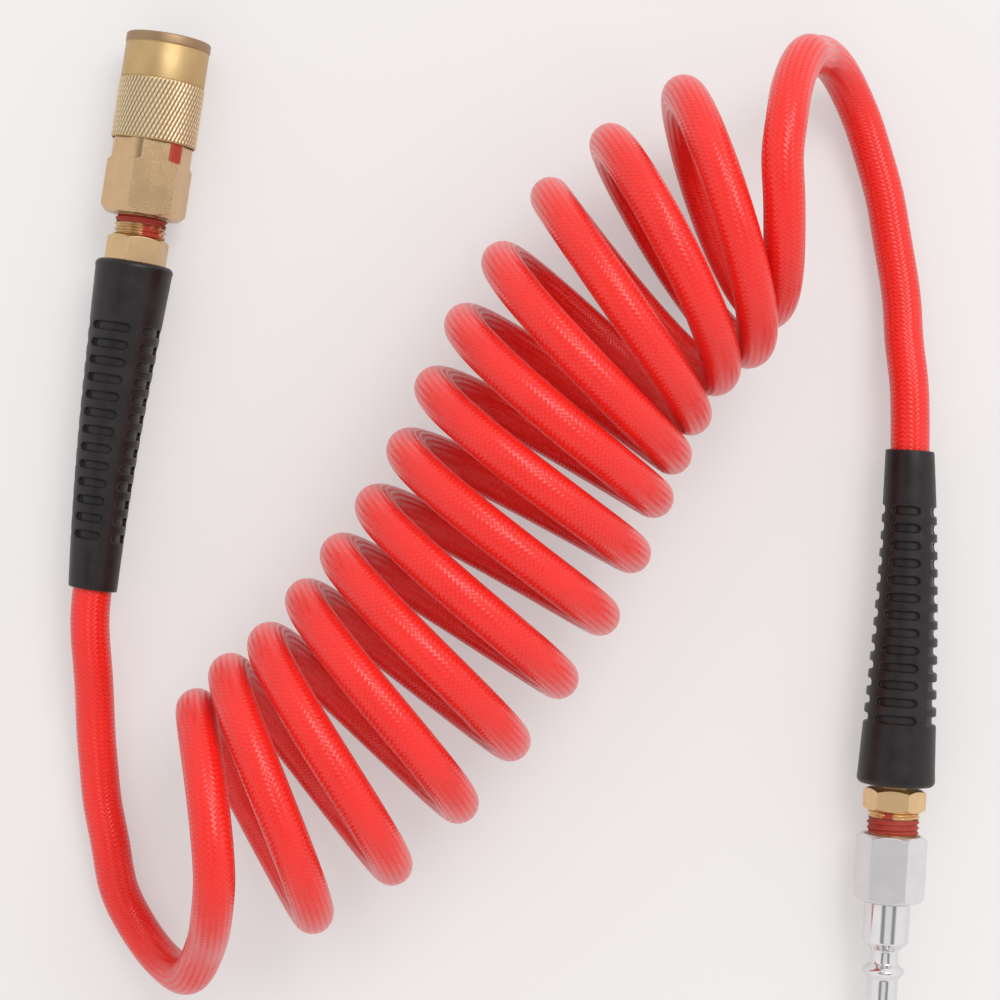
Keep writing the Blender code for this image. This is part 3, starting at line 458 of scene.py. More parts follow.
print("stage 2: finishes")

wear = {
    "cloud": (4.0, 0.6),          # detail and roughness of the two noises
    "speckle": (2.0, 0.7),
    "cells": 0.35,                # scale of the spots against the speckle's
    "acrossRings": 60.0,          # scale of the lathe rings across the fitting's axis
    "metalScales": (220.0, 3200.0, 5200.0),     # clouds, speckle, lathe rings
    "metalShares": (0.55, 0.35),  # how strongly the clouds and the spots show
    "softShares": (0.35, 0.5),
    "softCloudBump": 0.03,
}


# cloudy wear, fine speckle and small spots, shared by the metals and the rubber
def makeWearGroup():
    group, into, out = newGroup(
        "surfaceWear",
        [("Vector", "NodeSocketVector", None), ("Cloud Scale", "NodeSocketFloat", 250.0),
         ("Speckle Scale", "NodeSocketFloat", 3000.0), ("Spot Amount", "NodeSocketFloat", 0.06)],
        ["Cloud", "Speckle", "Spots"],
    )
    noises = {}
    for name, scale in (("cloud", "Cloud Scale"), ("speckle", "Speckle Scale")):
        detail, roughness = wear[name]
        noises[name] = addNode(group, "ShaderNodeTexNoise", inputs={
            "Vector": into["Vector"], "Scale": into[scale], "Detail": detail, "Roughness": roughness}).outputs[0]
    cell = addNode(group, "ShaderNodeTexVoronoi", inputs={
        "Vector": into["Vector"], "Scale": product(group, into["Speckle Scale"], wear["cells"])})
    spots = mathNode(group, "LESS_THAN", cell.outputs["Distance"], into["Spot Amount"])
    group.links.new(spread(group, noises["cloud"], *noiseRange, 0, 1), out["Cloud"])
    group.links.new(noises["speckle"], out["Speckle"])
    group.links.new(spots, out["Spots"])
    return group


# fine rings that a lathe tool leaves, read along a fitting's own axis
def makeRingGroup():
    group, into, out = newGroup(
        "turningRings", [("Vector", "NodeSocketVector", None), ("Rings", "NodeSocketFloat", 4000.0)], ["Height"])
    own = splitVector(group, into["Vector"])
    scales = (wear["acrossRings"], wear["acrossRings"], into["Rings"])
    squeezed = addNode(group, "ShaderNodeCombineXYZ", inputs={
        i: product(group, own[i], scale) for i, scale in enumerate(scales)})
    rings = addNode(group, "ShaderNodeTexNoise", inputs={"Vector": squeezed.outputs[0], "Scale": 1.0, "Detail": 2.0})
    group.links.new(rings.outputs[0], out["Height"])
    return group


wearGroup = makeWearGroup()
ringGroup = makeRingGroup()


def ownCoordinates(tree, place):  # a fitting's own coordinates: Z along it, Y up
    spot = addNode(tree, "ShaderNodeTexCoord").outputs["Object"]
    return addNode(tree, "ShaderNodeMapping", vector_type="TEXTURE", inputs={
        "Vector": spot, "Location": tuple(place.translation), "Rotation": tuple(place.to_euler())}).outputs[0]


def insideRange(tree, value, low, high, soft=0.05):  # 1 between two stations in millimetres, soft at both ends
    rising = spread(tree, value, (low - soft) * mm, (low + soft) * mm, 0, 1)
    falling = spread(tree, value, (high - soft) * mm, (high + soft) * mm, 1, 0)
    return product(tree, rising, falling)


metals = {
    "brass": {"colour": (0.68, 0.470, 0.255), "dull": (0.55, 0.37, 0.190), "roughness": (0.26, 0.38)},
    "nut": {"colour": (0.84, 0.58, 0.315), "dull": (0.70, 0.47, 0.245), "roughness": (0.34, 0.46)},
    "sleeve": {"colour": (0.59, 0.405, 0.195), "dull": (0.50, 0.34, 0.155), "roughness": (0.40, 0.48),
               "metallic": 0.8},
    "hex": {"colour": (0.66, 0.450, 0.255), "dull": (0.56, 0.380, 0.205), "roughness": (0.24, 0.30)},
    "steel": {"colour": (0.80, 0.785, 0.795), "dull": (0.70, 0.685, 0.70), "roughness": (0.07, 0.14),
              "metallic": 0.9},
    "spring": {"colour": (0.50, 0.50, 0.52), "dull": (0.36, 0.36, 0.38), "roughness": (0.28, 0.42)},
    "tarnish": (0.32, 0.205, 0.125),
    "tarnishShare": 0.8,
    # red of the real thread-sealant stains, and also of a painted reflection of the red hose on the adapter's neck
    "redReflectionAndStain": (0.42, 0.050, 0.028),
    "stainEdge": 0.4,
    "matt": (0.34, 0.48),
}
knurlLines = {
    "count": 62,
    "radius": 10.9,
    "slope": math.tan(math.radians(23)),
    "along": (29.8, 44.8),
    # painted highlight: the whole knurled band is lightened towards this colour, as if its crests caught the light
    "crestHighlight": (0.98, 0.80, 0.54),
    "crestHighlightShare": 0.6,
    # painted shade: the knurl's grooves are darkened towards this colour
    "groove": (0.16, 0.105, 0.055),
    "grooveShadeEdges": (0.06, 0.24),     # from a groove's middle, in shares of the pitch
    "grooveShadeStrengths": (("ADD", 0.38), ("SUBTRACT", 0.92)),
}


# painted shade in the grooves and a painted highlight on the ridges of a knurl: sets of slanting lines between two
# stations
def paintKnurlShadeAndHighlight(tree, own, colour, lines):
    angle = mathNode(tree, "ARCTAN2", own[1], own[0])
    inRadian = lines["count"] / (2 * math.pi)
    around = product(tree, angle, inRadian)
    along = product(tree, own[2], lines["slope"] * inRadian / lines["radius"] / mm)
    inBand = insideRange(tree, own[2], *lines["along"])
    # painted highlight over the whole knurled band
    colour = mixColour(tree, product(tree, inBand, lines["crestHighlightShare"]), colour, lines["crestHighlight"])
    for operation, strength in lines["grooveShadeStrengths"]:
        share = mathNode(tree, "FRACT", mathNode(tree, operation, around, along))
        crest = mathNode(tree, "ABSOLUTE", mathNode(tree, "SUBTRACT", share, 0.5))
        # painted shade, darkest in a groove's middle
        dark = product(tree, spread(tree, crest, *lines["grooveShadeEdges"], strength, 0), inBand)
        colour = mixColour(tree, dark, colour, lines["groove"])
    return colour


# the outputs of the wear group, and the colour and the roughness that it makes of a look
def wornColour(tree, look, vector, scales, spotAmount, shares):
    worn = placeGroup(tree, wearGroup, {
        "Vector": vector, "Cloud Scale": scales[0], "Speckle Scale": scales[1], "Spot Amount": spotAmount})
    colour = mixColour(tree, product(tree, worn["Cloud"], shares[0]), look["colour"], look["dull"])
    colour = mixColour(tree, product(tree, worn["Spots"], shares[1]), colour, look["dull"])
    return worn, colour, spread(tree, worn["Cloud"], 0, 1, *look["roughness"])


def makeMetal(name, look, place, band=None, mattBand=None, redReflectionAndStain=None, stain=None, ringDepth=0.004, grain=0.003,
              lines=None):
    material, tree, shader = newMaterial(name, look["colour"], 0.3, look.get("metallic", 1.0))
    vector = ownCoordinates(tree, place)
    own = splitVector(tree, vector)
    worn, colour, rough = wornColour(tree, look, vector, wear["metalScales"][:2], 0.06, wear["metalShares"])
    rings = placeGroup(tree, ringGroup, {"Vector": vector, "Rings": wear["metalScales"][2]})
    redReflectionAndStainMask = None
    if band:
        tarnished = product(tree, insideRange(tree, own[2], *band), metals["tarnishShare"])
        colour = mixColour(tree, tarnished, colour, metals["tarnish"])
    # painted shade in the knurl's grooves and a painted highlight on its ridges
    if lines:
        colour = paintKnurlShadeAndHighlight(tree, own, colour, lines)
    if mattBand:
        mattRough = spread(tree, worn["Speckle"], *noiseRange, *metals["matt"])
        rough = mixValue(tree, insideRange(tree, own[2], *mattBand), rough, mattRough)
    # painted reflection of the red hose on one strip of the adapter's neck
    if redReflectionAndStain:
        redReflectionAndStainMask = product(tree, insideRange(tree, own[2], *redReflectionAndStain["along"]),
                          insideRange(tree, own[0], *redReflectionAndStain["across"]), mathNode(tree, "GREATER_THAN", own[1], 0.0))
    if stain:
        ragged = mathNode(tree, "GREATER_THAN", worn["Cloud"], stain["threshold"])
        redReflectionAndStainMask = product(tree, insideRange(tree, own[2], *stain["along"]), ragged,
                          insideRange(tree, own[0], *stain["across"], metals["stainEdge"]))
    # mixes in the red of the sealant stains and of the painted hose reflection, and takes the metal away there
    if redReflectionAndStainMask:
        colour = mixColour(tree, redReflectionAndStainMask, colour, metals["redReflectionAndStain"])
        linkShader(tree, shader, Metallic=mathNode(tree, "SUBTRACT", 1.0, redReflectionAndStainMask))
    linkShader(tree, shader, Base_Color=colour, Roughness=rough)
    linkBump(tree, shader, mathNode(tree, "ADD", product(tree, rings["Height"], ringDepth),
                                    product(tree, worn["Speckle"], grain)))
    return material


couplerBrass = makeMetal("couplerBrass", metals["brass"], couplerPlace,
                         stain={"along": (4.9, 8.3), "across": (-6.8, -1.4), "threshold": 0.42})
# its red patch on the neck is a painted reflection of the red hose
hexBrass = makeMetal("hexBrass", metals["hex"], couplerPlace, grain=0.007,
                     redReflectionAndStain={"along": (24.7, 29.6), "across": (-8.4, -5.7)})
sleeveBrass = makeMetal("sleeveBrass", metals["sleeve"], couplerPlace, band=(54.2, 56.8), grain=0.005,
                        lines=knurlLines)
plugBrass = makeMetal("plugBrass", metals["nut"], plugPlace,
                      stain={"along": (6.7, 8.6), "across": (-4.5, -1.0), "threshold": 0.45})
brightSteel = makeMetal("brightSteel", metals["steel"], plugPlace, mattBand=(12.7, 30.0), ringDepth=0.002)
ballSteel = makeMetal("ballSteel", metals["steel"], couplerPlace, ringDepth=0.0, grain=0.001)
springSteel = makeMetal("springSteel", metals["spring"], couplerPlace, ringDepth=0.0)

softs = {
    "rubber": {"colour": (0.0090, 0.0064, 0.0068), "dull": (0.036, 0.030, 0.031), "roughness": (0.34, 0.48),
               "specular": 0.36},
    "seal": {"colour": (0.012, 0.012, 0.013), "dull": (0.03, 0.03, 0.03), "roughness": (0.42, 0.55)},
    "sealant": {"colour": (0.36, 0.036, 0.020), "dull": (0.48, 0.10, 0.07), "roughness": (0.42, 0.62),
                "specular": 0.3},
    "hose": {"colour": (0.60, 0.012, 0.014), "dull": (0.74, 0.05, 0.05), "roughness": (0.3, 0.4)},
}


def makeSoft(name, look, scales=(180.0, 2600.0), grain=0.012, spots=0.05):
    material, tree, shader = newMaterial(name, look["colour"], 0.5, Specular_IOR_Level=look.get("specular", 0.5))
    spot = addNode(tree, "ShaderNodeTexCoord").outputs["Object"]
    worn, colour, rough = wornColour(tree, look, spot, scales, spots, wear["softShares"])
    linkShader(tree, shader, Base_Color=colour, Roughness=rough)
    linkBump(tree, shader, mathNode(tree, "ADD", product(tree, worn["Speckle"], grain),
                                    product(tree, worn["Cloud"], wear["softCloudBump"])))
    return material


blackRubber = makeSoft("blackRubber", softs["rubber"])
sealRubber = makeSoft("sealRubber", softs["seal"])
redSealant = makeSoft("redSealant", softs["sealant"], scales=(600.0, 2600.0), grain=0.05, spots=0.12)
plainRed = makeSoft("hoseRed", softs["hose"])


# pieces of both fittings are drawn standing at the origin, then placed

def turnFacesOut():  # of all that is in edit mode, which it leaves
    bpy.ops.mesh.select_all(action="SELECT")
    bpy.ops.mesh.normals_make_consistent(inside=False)
    setMode("OBJECT")


def turnPiece(name, profile, sides=96):  # profile: radius and station of each ring, in millimetres
    solid = profile[0][0] == 0
    rings = [p for p in profile if p[0] > 0] if solid else list(profile) + [profile[0]]
    radius, station = rings[0]
    deselectAll()
    bpy.ops.mesh.primitive_circle_add(
        vertices=sides, radius=radius * mm, location=(0, 0, station * mm), fill_type="NGON" if solid else "NOTHING"
    )
    piece = bpy.context.object
    piece.name = name
    piece.data.name = name
    setMode("EDIT", "SELECT")
    extrude = bpy.ops.mesh.extrude_region_move if solid else bpy.ops.mesh.extrude_edges_move
    for nextRadius, nextStation in rings[1:]:
        extrude(TRANSFORM_OT_translate={"value": (0, 0, (nextStation - station) * mm)})
        if nextRadius != radius:
            grow = nextRadius / radius
            bpy.ops.transform.resize(value=(grow, grow, 1), center_override=(0, 0, 0))
        radius, station = nextRadius, nextStation
    bpy.ops.mesh.select_all(action="SELECT")
    bpy.ops.mesh.remove_doubles(threshold=0.002 * mm)
    turnFacesOut()
    bpy.ops.object.transform_apply(location=True, rotation=True, scale=True)
    return piece


def cutPiece(piece, cutter, operation="DIFFERENCE"):
    applyModifier(piece, "BOOLEAN", object=cutter, operation=operation, solver="EXACT")
    bpy.data.objects.remove(cutter, do_unlink=True)


def hexCorner(flats):  # from the axis to a corner
    return flats / 2 / math.cos(math.radians(30))


def trimHex(piece, flats, turn, length=200):
    deselectAll()
    bpy.ops.mesh.primitive_cylinder_add(
        vertices=6, radius=hexCorner(flats) * mm, depth=length * mm, rotation=(0, 0, math.radians(turn)))
    cutPiece(piece, bpy.context.object, "INTERSECT")


def softenEdges(piece, width, degrees=35):
    applyModifier(piece, "BEVEL", width=width * mm, segments=2, limit_method="ANGLE",
                  angle_limit=math.radians(degrees), use_clamp_overlap=True)


# cuts the outer wall between two stations into fine rings, then moves each point in or out by a rule
def shapeBand(piece, low, high, beyond, cuts, rule):
    makeActive(piece)
    setMode("EDIT")
    bpy.ops.mesh.select_mode(type="EDGE")
    bpy.ops.mesh.select_all(action="DESELECT")
    mesh = bmesh.from_edit_mesh(piece.data)
    slack = 0.25 * mm     # softened edges move the band's end rings
    leastHeight = 0.7 * (high - low) * mm

    def inBand(vertex):
        return low * mm - slack < vertex.co.z < high * mm + slack and math.hypot(*vertex.co.xy) > beyond * mm

    for edge in mesh.edges:
        first, second = edge.verts
        edge.select = abs(first.co.z - second.co.z) > leastHeight and inBand(first) and inBand(second)
    bmesh.update_edit_mesh(piece.data)
    bpy.ops.mesh.subdivide(number_cuts=cuts)
    mesh = bmesh.from_edit_mesh(piece.data)
    for vertex in mesh.verts:
        if inBand(vertex):
            radius = math.hypot(*vertex.co.xy)
            moved = radius + rule(math.atan2(vertex.co.y, vertex.co.x), vertex.co.z / mm) * mm
            vertex.co.x *= moved / radius
            vertex.co.y *= moved / radius
    bmesh.update_edit_mesh(piece.data)
    setMode("OBJECT")


def bendSideways(piece, sweep):  # the free part of a boot follows the hose
    free = boot["length"] - boot["straight"]
    for vertex in piece.data.vertices:
        past = max(0.0, -vertex.co.z / mm - boot["straight"])
        vertex.co.x += sweep * (past / free) ** 2 * mm


def roundedEdge(radius, station, size, upward=1, steps=4):  # quarter round at a rim, as ring places
    angles = [math.pi / 2 * i / steps for i in range(steps + 1)]
    return [(radius - size * (1 - math.sin(a)), station - upward * size * (1 - math.cos(a))) for a in angles]


def onCircle(radius, turn, station):
    return Vector((radius * math.cos(turn), radius * math.sin(turn), station)) * mm


print("stage 3: boots")


def bootRadius(station):
    return (boot["wide"] + (boot["thin"] - boot["wide"]) * -station / boot["length"]) / 2


def makeSlotShape(length):  # flared at its rim and rounded at its floor, pointing up at the origin
    rim, high = boot["slotRim"], boot["slotTop"]
    half, reach = boot["slotWidth"] / 2 + rim, length / 2 + rim
    columns, rows = boot["slotGrid"]
    deselectAll()
    bpy.ops.mesh.primitive_grid_add(x_subdivisions=columns, y_subdivisions=rows, size=2, location=(0, 0, high * mm))
    shape = bpy.context.object
    bpy.ops.object.transform_apply(location=True)
    for vertex in shape.data.vertices:
        across = reach * math.sin(vertex.co.x * math.pi / 2)
        pastEnd = max(0.0, abs(across) - (reach - half))
        room = math.sqrt(max(half ** 2 - pastEnd ** 2, boot["slotTip"] * half ** 2))
        vertex.co.x, vertex.co.y = across * mm, vertex.co.y * room * mm
    setMode("EDIT")
    bpy.ops.mesh.select_mode(type="FACE")
    bpy.ops.mesh.select_all(action="SELECT")
    for drop, narrower in ((high, 0), (rim, rim), (boot["slotDepth"] - 2 * rim, 0), (rim, rim)):
        bpy.ops.mesh.extrude_region_move(TRANSFORM_OT_translate={"value": (0, 0, -drop * mm)})
        bpy.ops.transform.resize(value=((reach - narrower) / reach, (half - narrower) / half, 1),
                                 center_override=(0, 0, 0))
        reach, half = reach - narrower, half - narrower
    turnFacesOut()
    return shape


def wrapSlot(shape, turn, station):
    spin = math.radians(turn)
    around = bootRadius(station) * mm
    for vertex in shape.data.vertices:
        across, along, up = vertex.co
        angle = spin + across / around
        radius = bootRadius(station + along / mm) * mm + up
        vertex.co = (radius * math.cos(angle), radius * math.sin(angle), station * mm + along)


def makeSlotCutter(side):
    shapes = []
    turn, first = boot["turns"][side], boot["first"][side]
    longest, shortest = boot["slotLengths"]
    for i in range(boot["slots"]):
        model = makeSlotShape(longest + (shortest - longest) * i / (boot["slots"] - 1))
        for row in range(boot["rows"]):
            shapes.append(copyPiece(model))
            wrapSlot(shapes[-1], turn + 90 + row * 360 / boot["rows"], -first - i * boot["pitch"])
        bpy.data.objects.remove(model, do_unlink=True)
    deselectAll()
    for shape in shapes:
        shape.select_set(True)
    bpy.context.view_layer.objects.active = shapes[0]
    bpy.ops.object.join()
    setMode("EDIT")
    turnFacesOut()
    return bpy.context.object


def makeBoot(name, side, body, node):
    length, face = boot["length"], boot["faces"][side]
    hoseBore, ferruleBore, recessBore = [boot[b] / 2 for b in ("hoseBore", "ferruleBore", "recessBore")]
    floor, chamfer, mouth = face - boot["recess"], 0.3, (0.1, 0.25)
    profile = [
        *roundedEdge(boot["wide"] / 2, face, boot["edges"][0]),
        *[(bootRadius(-s), -s) for s in np.linspace(4, length - 4, 20)],
        *reversed(roundedEdge(boot["thin"] / 2, -length, boot["edges"][1], -1)),
        (hoseBore + chamfer, -length), (hoseBore, -length + chamfer),
        *[(hoseBore, -s) for s in np.linspace(length - 2, boot["straight"], 12)],
        (hoseBore, -boot["ferruleEnd"]), (ferruleBore, -boot["ferruleEnd"]), (ferruleBore, floor),
        (recessBore, floor), (recessBore, face - mouth[1]), (recessBore + mouth[0], face),
    ]
    piece = turnPiece(name, profile, boot["sides"])
    cutPiece(piece, makeSlotCutter(side))
    bendSideways(piece, sweeps[side])
    finishPiece(piece, 32, body, node, blackRubber)


makeBoot("coupler_grip", 0, "root", "coupler_boot")
makeBoot("plug_grip", 1, "plug_end", "plug_boot")

crimp = {
    "hose": 10.0,
    "bore": 6.5,
    "setBack": 3.8,
    "hoseEnd": 83.6,      # the free hose reaches a little way into the boot and takes over there
    "rings": 30,
    "collar": 10.0,
    "collarGap": 0.3,     # to the hose's end
    "stemBore": 4.4,
    "barbs": 4,
    "barb": 0.3,
    "barbShare": 0.9,     # of the pitch that a barb's slope takes
    "stemEnd": 25.8,
}


def makeHoseInBoot(name, side, body, node):
    stations = np.linspace(crimp["setBack"], crimp["hoseEnd"], crimp["rings"])
    profile = [(crimp["hose"] / 2, -s) for s in stations] + [(crimp["bore"] / 2, -s) for s in reversed(stations)]
    piece = turnPiece(name, profile, 32)
    bendSideways(piece, sweeps[side])
    finishPiece(piece, 35, body, node, plainRed)


makeHoseInBoot("coupler_hose_inside", 0, "root", "coupler_hose_stub")
makeHoseInBoot("plug_hose_inside", 1, "plug_end", "plug_hose_stub")

print("stage 4: coupler side")


def hexSides(flats, high, low, chamfer):  # the turned outline of a hex blank, from the top down
    corner = hexCorner(flats) + 0.05
    rim = flats / 2 - chamfer / 4
    return [(rim, high), (corner, high - chamfer), (corner, low + chamfer), (rim, low)]


def stemBelow(collarTop):  # collar and barbs inside the crimped hose, from the top down
    radius, barb, collar = crimp["bore"] / 2 - crimp["barb"], crimp["barb"], crimp["collar"] / 2
    collarLow = crimp["collarGap"] - crimp["setBack"]
    pitch = (collarLow + crimp["stemEnd"]) / crimp["barbs"]
    points = [(collar, collarTop), (collar, collarLow)]
    for i in range(crimp["barbs"]):
        points += [(radius, collarLow - i * pitch), (radius - barb, collarLow - (i + crimp["barbShare"]) * pitch)]
    return points + [(radius - barb, -crimp["stemEnd"]), (crimp["stemBore"] / 2, -crimp["stemEnd"])]


thread = {
    "crest": 6.65,
    "core": 5.7,
    "depth": 0.62,
    "pitch": 1.41,
    "crestFlat": 0.12,     # shares of half the pitch
    "flank": 0.76,
    "sealantDepth": 0.5,
    "sealantEdge": 0.35,
    "lumps": 0.035,
    "waves": ((5, 1.7, 0), (9, -2.9, 1)),     # around, along and start of the lumps in the sealant
    "nose": (0.75, 0.6),
    "hidden": 0.15,        # how much thinner the part inside the other fitting is
    "room": 0.3,           # beside the sealant
    "runOut": 0.35,
}


def threadRule(depth, lumps=0.0):
    def rule(angle, station):
        phase = (station / thread["pitch"] - angle / (2 * math.pi)) % 1
        groove = min(1.0, max(0.0, (abs(2 * phase - 1) - thread["crestFlat"]) / thread["flank"]))
        lump = lumps * sum(math.sin(a * angle + b * station + c) for a, b, c in thread["waves"])
        return lump - depth * groove
    return rule


def threadedNose(nose, low, high, hexTop):  # from the nose down to the hex, thin where the sealant sits
    crest, core, room = thread["crest"], thread["core"], thread["room"]
    inside, (taper, taperHeight) = crest - thread["hidden"], thread["nose"]
    return [
        (crest - taper, nose), (inside, nose - taperHeight), (inside, high + room), (core, high + room),
        (core, low - room), (crest, low - room), (crest, hexTop + thread["runOut"]),
        (crest - thread["depth"], hexTop),
    ]


def cutThread(piece, hexTop, top, cuts):
    shapeBand(piece, hexTop + thread["runOut"], top - thread["room"], thread["crest"] - 0.1, cuts,
              threadRule(thread["depth"]))


hoseEnd = {
    "flats": 14.0,
    "turn": 51.0,
    "chamfer": 0.8,
    "low": -2.9,
    "hexTop": 5.0,
    "sealant": (8.3, 10.2),
    "nose": 16.5,
    "edge": 0.12,
    "threadCuts": 20,
}


def makeFixedHoseEnd():
    low, high = hoseEnd["sealant"]
    piece = turnPiece("brass_hose_end", [
        *threadedNose(hoseEnd["nose"], low, high, hoseEnd["hexTop"]),
        *hexSides(hoseEnd["flats"], hoseEnd["hexTop"], hoseEnd["low"], hoseEnd["chamfer"]),
        *stemBelow(hoseEnd["low"]),
        (crimp["stemBore"] / 2, hoseEnd["nose"]),
    ])
    trimHex(piece, hoseEnd["flats"], hoseEnd["turn"])
    softenEdges(piece, hoseEnd["edge"], 24)
    cutThread(piece, hoseEnd["hexTop"], low, hoseEnd["threadCuts"])
    finishPiece(piece, 26, "root", "fixed_hose_end", couplerBrass, crisp=True)


makeFixedHoseEnd()


def makeSealant(name, low, high, body, node):
    crest, inner, edge = thread["crest"], thread["core"] + 0.3, thread["sealantEdge"]
    piece = turnPiece(name, [
        (inner, high), (crest - edge, high), (crest, high - edge),
        (crest, low + edge), (crest - edge, low), (inner, low),
    ])
    shapeBand(piece, low + edge, high - edge, inner + 0.2, 26, threadRule(thread["sealantDepth"], thread["lumps"]))
    finishPiece(piece, 60, body, node, redSealant)


makeSealant("coupler_sealant", *hoseEnd["sealant"], "root", "coupler_thread_sealant")

adapter = {
    "flats": 19.05,
    "turn": 47.0,
    "low": 10.5,
    "hexTop": 23.5,
    "shoulder": 0.9,       # height of the slope from the hex to the neck
    "top": 30.0,
    "neck": 20.3,
    "neckEdge": 0.5,
    "chamfer": 1.6,
    "threadBore": 13.9,
    "boreEdge": 0.6,
    "web": (18.0, 19.5, 6.4),
    "seat": 15.8,
    "edge": 0.16,
}


def makeAdapter():
    low, hexTop, top, chamfer = [adapter[k] for k in ("low", "hexTop", "top", "chamfer")]
    neck, bore, seat = [adapter[k] / 2 for k in ("neck", "threadBore", "seat")]
    corner = hexCorner(adapter["flats"]) + 0.05
    webLow, webTop, webBore = adapter["web"]
    piece = turnPiece("coupler_hex_body", [
        (neck - adapter["neckEdge"], top), (neck, top - adapter["neckEdge"]),
        (neck, hexTop + adapter["shoulder"]), (corner, hexTop), (corner, low + chamfer), (corner - chamfer, low),
        (bore + adapter["boreEdge"], low), (bore, low + adapter["boreEdge"]), (bore, webLow),
        (webBore / 2, webLow), (webBore / 2, webTop), (seat, webTop), (seat, top),
    ], 120)
    trimHex(piece, adapter["flats"], adapter["turn"])
    softenEdges(piece, adapter["edge"], 24)
    finishPiece(piece, 24, "root", "coupler_adapter", hexBrass, crisp=True)


makeAdapter()

barrel = {
    "low": 19.8,
    "flange": (30.3, 31.1, 9.2),
    "top": 56.0,
    "radius": 7.3,
    "edge": 0.3,
    "spigot": 7.6,
    "chamber": 5.8,
    "lip": (33.3, 34.5, 4.6),
    "socket": 6.1,
    "socketEdge": 0.5,
    "ring": (54.35, 55.25),
    "ringGap": 0.3,
    "grooveDepth": 0.6,
    "ballPlane": 43.8,
    "holes": (2.2, 7.0, 6.825),     # radius, length and distance of the middle from the axis
    "balls": 4,
    "ballRadius": 1.9,
    "ballRest": 5.55,
    "ballCuts": 11,
}


def makeBarrel():
    body, socket, low, top = [barrel[k] for k in ("radius", "socket", "low", "top")]
    edge, socketEdge, chamber, spigot = [barrel[k] for k in ("edge", "socketEdge", "chamber", "spigot")]
    grooveLow, grooveTop = barrel["ring"][0] - barrel["ringGap"], barrel["ring"][1] + barrel["ringGap"]
    flangeLow, flangeTop, flange = barrel["flange"]
    lipLow, lipTop, lip = barrel["lip"]
    groove = body - barrel["grooveDepth"]
    piece = turnPiece("coupler_barrel_turned", [
        (body - edge, top), (body, top - edge), (body, grooveTop), (groove, grooveTop), (groove, grooveLow),
        (body, grooveLow), (body, flangeTop), (flange, flangeTop), (flange, flangeLow), (spigot, flangeLow),
        (spigot, low), (chamber, low), (chamber, lipLow), (lip, lipLow), (lip, lipTop), (socket, lipTop),
        (socket, top - socketEdge), (socket + socketEdge, top),
    ])
    hole, length, middle = barrel["holes"]
    for i in range(barrel["balls"]):
        turn = i * 2 * math.pi / barrel["balls"]
        deselectAll()
        bpy.ops.mesh.primitive_cylinder_add(
            vertices=32, radius=hole * mm, depth=length * mm, rotation=(0, math.pi / 2, turn),
            location=tuple(onCircle(middle, turn, barrel["ballPlane"])))
        cutPiece(piece, bpy.context.object)
    finishPiece(piece, 35, "root", "coupler_barrel", couplerBrass)


makeBarrel()


def makeBalls():
    deselectAll()
    bpy.ops.mesh.primitive_cube_add(size=2 * barrel["ballRadius"] * mm / math.sqrt(3))
    model = bpy.context.object
    setMode("EDIT", "SELECT")
    bpy.ops.mesh.subdivide(number_cuts=barrel["ballCuts"])
    bpy.ops.transform.tosphere(value=1)
    setMode("OBJECT")
    for vertex in model.data.vertices:
        vertex.co = vertex.co.normalized() * barrel["ballRadius"] * mm
    for i in range(barrel["balls"]):
        ball = copyPiece(model)
        ball.name = ball.data.name = f"steel_ball_{i + 1}"
        turn = i * 2 * math.pi / barrel["balls"]
        spot = Matrix.Translation(onCircle(barrel["ballRest"], turn, barrel["ballPlane"]))
        finishPiece(ball, 80, f"ball_{i + 1}", f"locking_ball_{i + 1}", ballSteel, place=couplerPlace @ spot)
    bpy.data.objects.remove(model, do_unlink=True)


makeBalls()

sleeve = {
    "low": 29.4,
    "top": 56.6,
    "smooth": 10.7,
    "knurl": 10.9,
    "knurlTop": 45.1,
    "lip": 10.85,
    "lipLow": 54.2,
    "lipEdge": 0.45,
    "skirt": 10.45,
    "land": (41.0, 43.8, 7.8),
    "recess": (48.8, 9.6),
    "collar": (51.0, 54.05, 7.7),
    "step": 0.12,
    "edge": 0.35,
    "knurlStart": 0.45,        # over the sleeve's low end
    "sides": 372,
    "knurlCuts": 62,
    "crest": 0.8,              # share of the pitch that a groove takes
    "depths": (0.09, 0.30),    # of the two ways that the grooves run
}


def knurlRule(angle, station):
    inRadian = knurlLines["count"] / (2 * math.pi)
    around, along = inRadian * angle, inRadian * station * knurlLines["slope"] / knurlLines["radius"]
    depth = 0.0
    for value, deep in ((around + along, sleeve["depths"][0]), (around - along, sleeve["depths"][1])):
        crest = abs(2 * (value % 1) - 1)
        depth = max(depth, deep * (1 - crest / sleeve["crest"]))
    return -depth


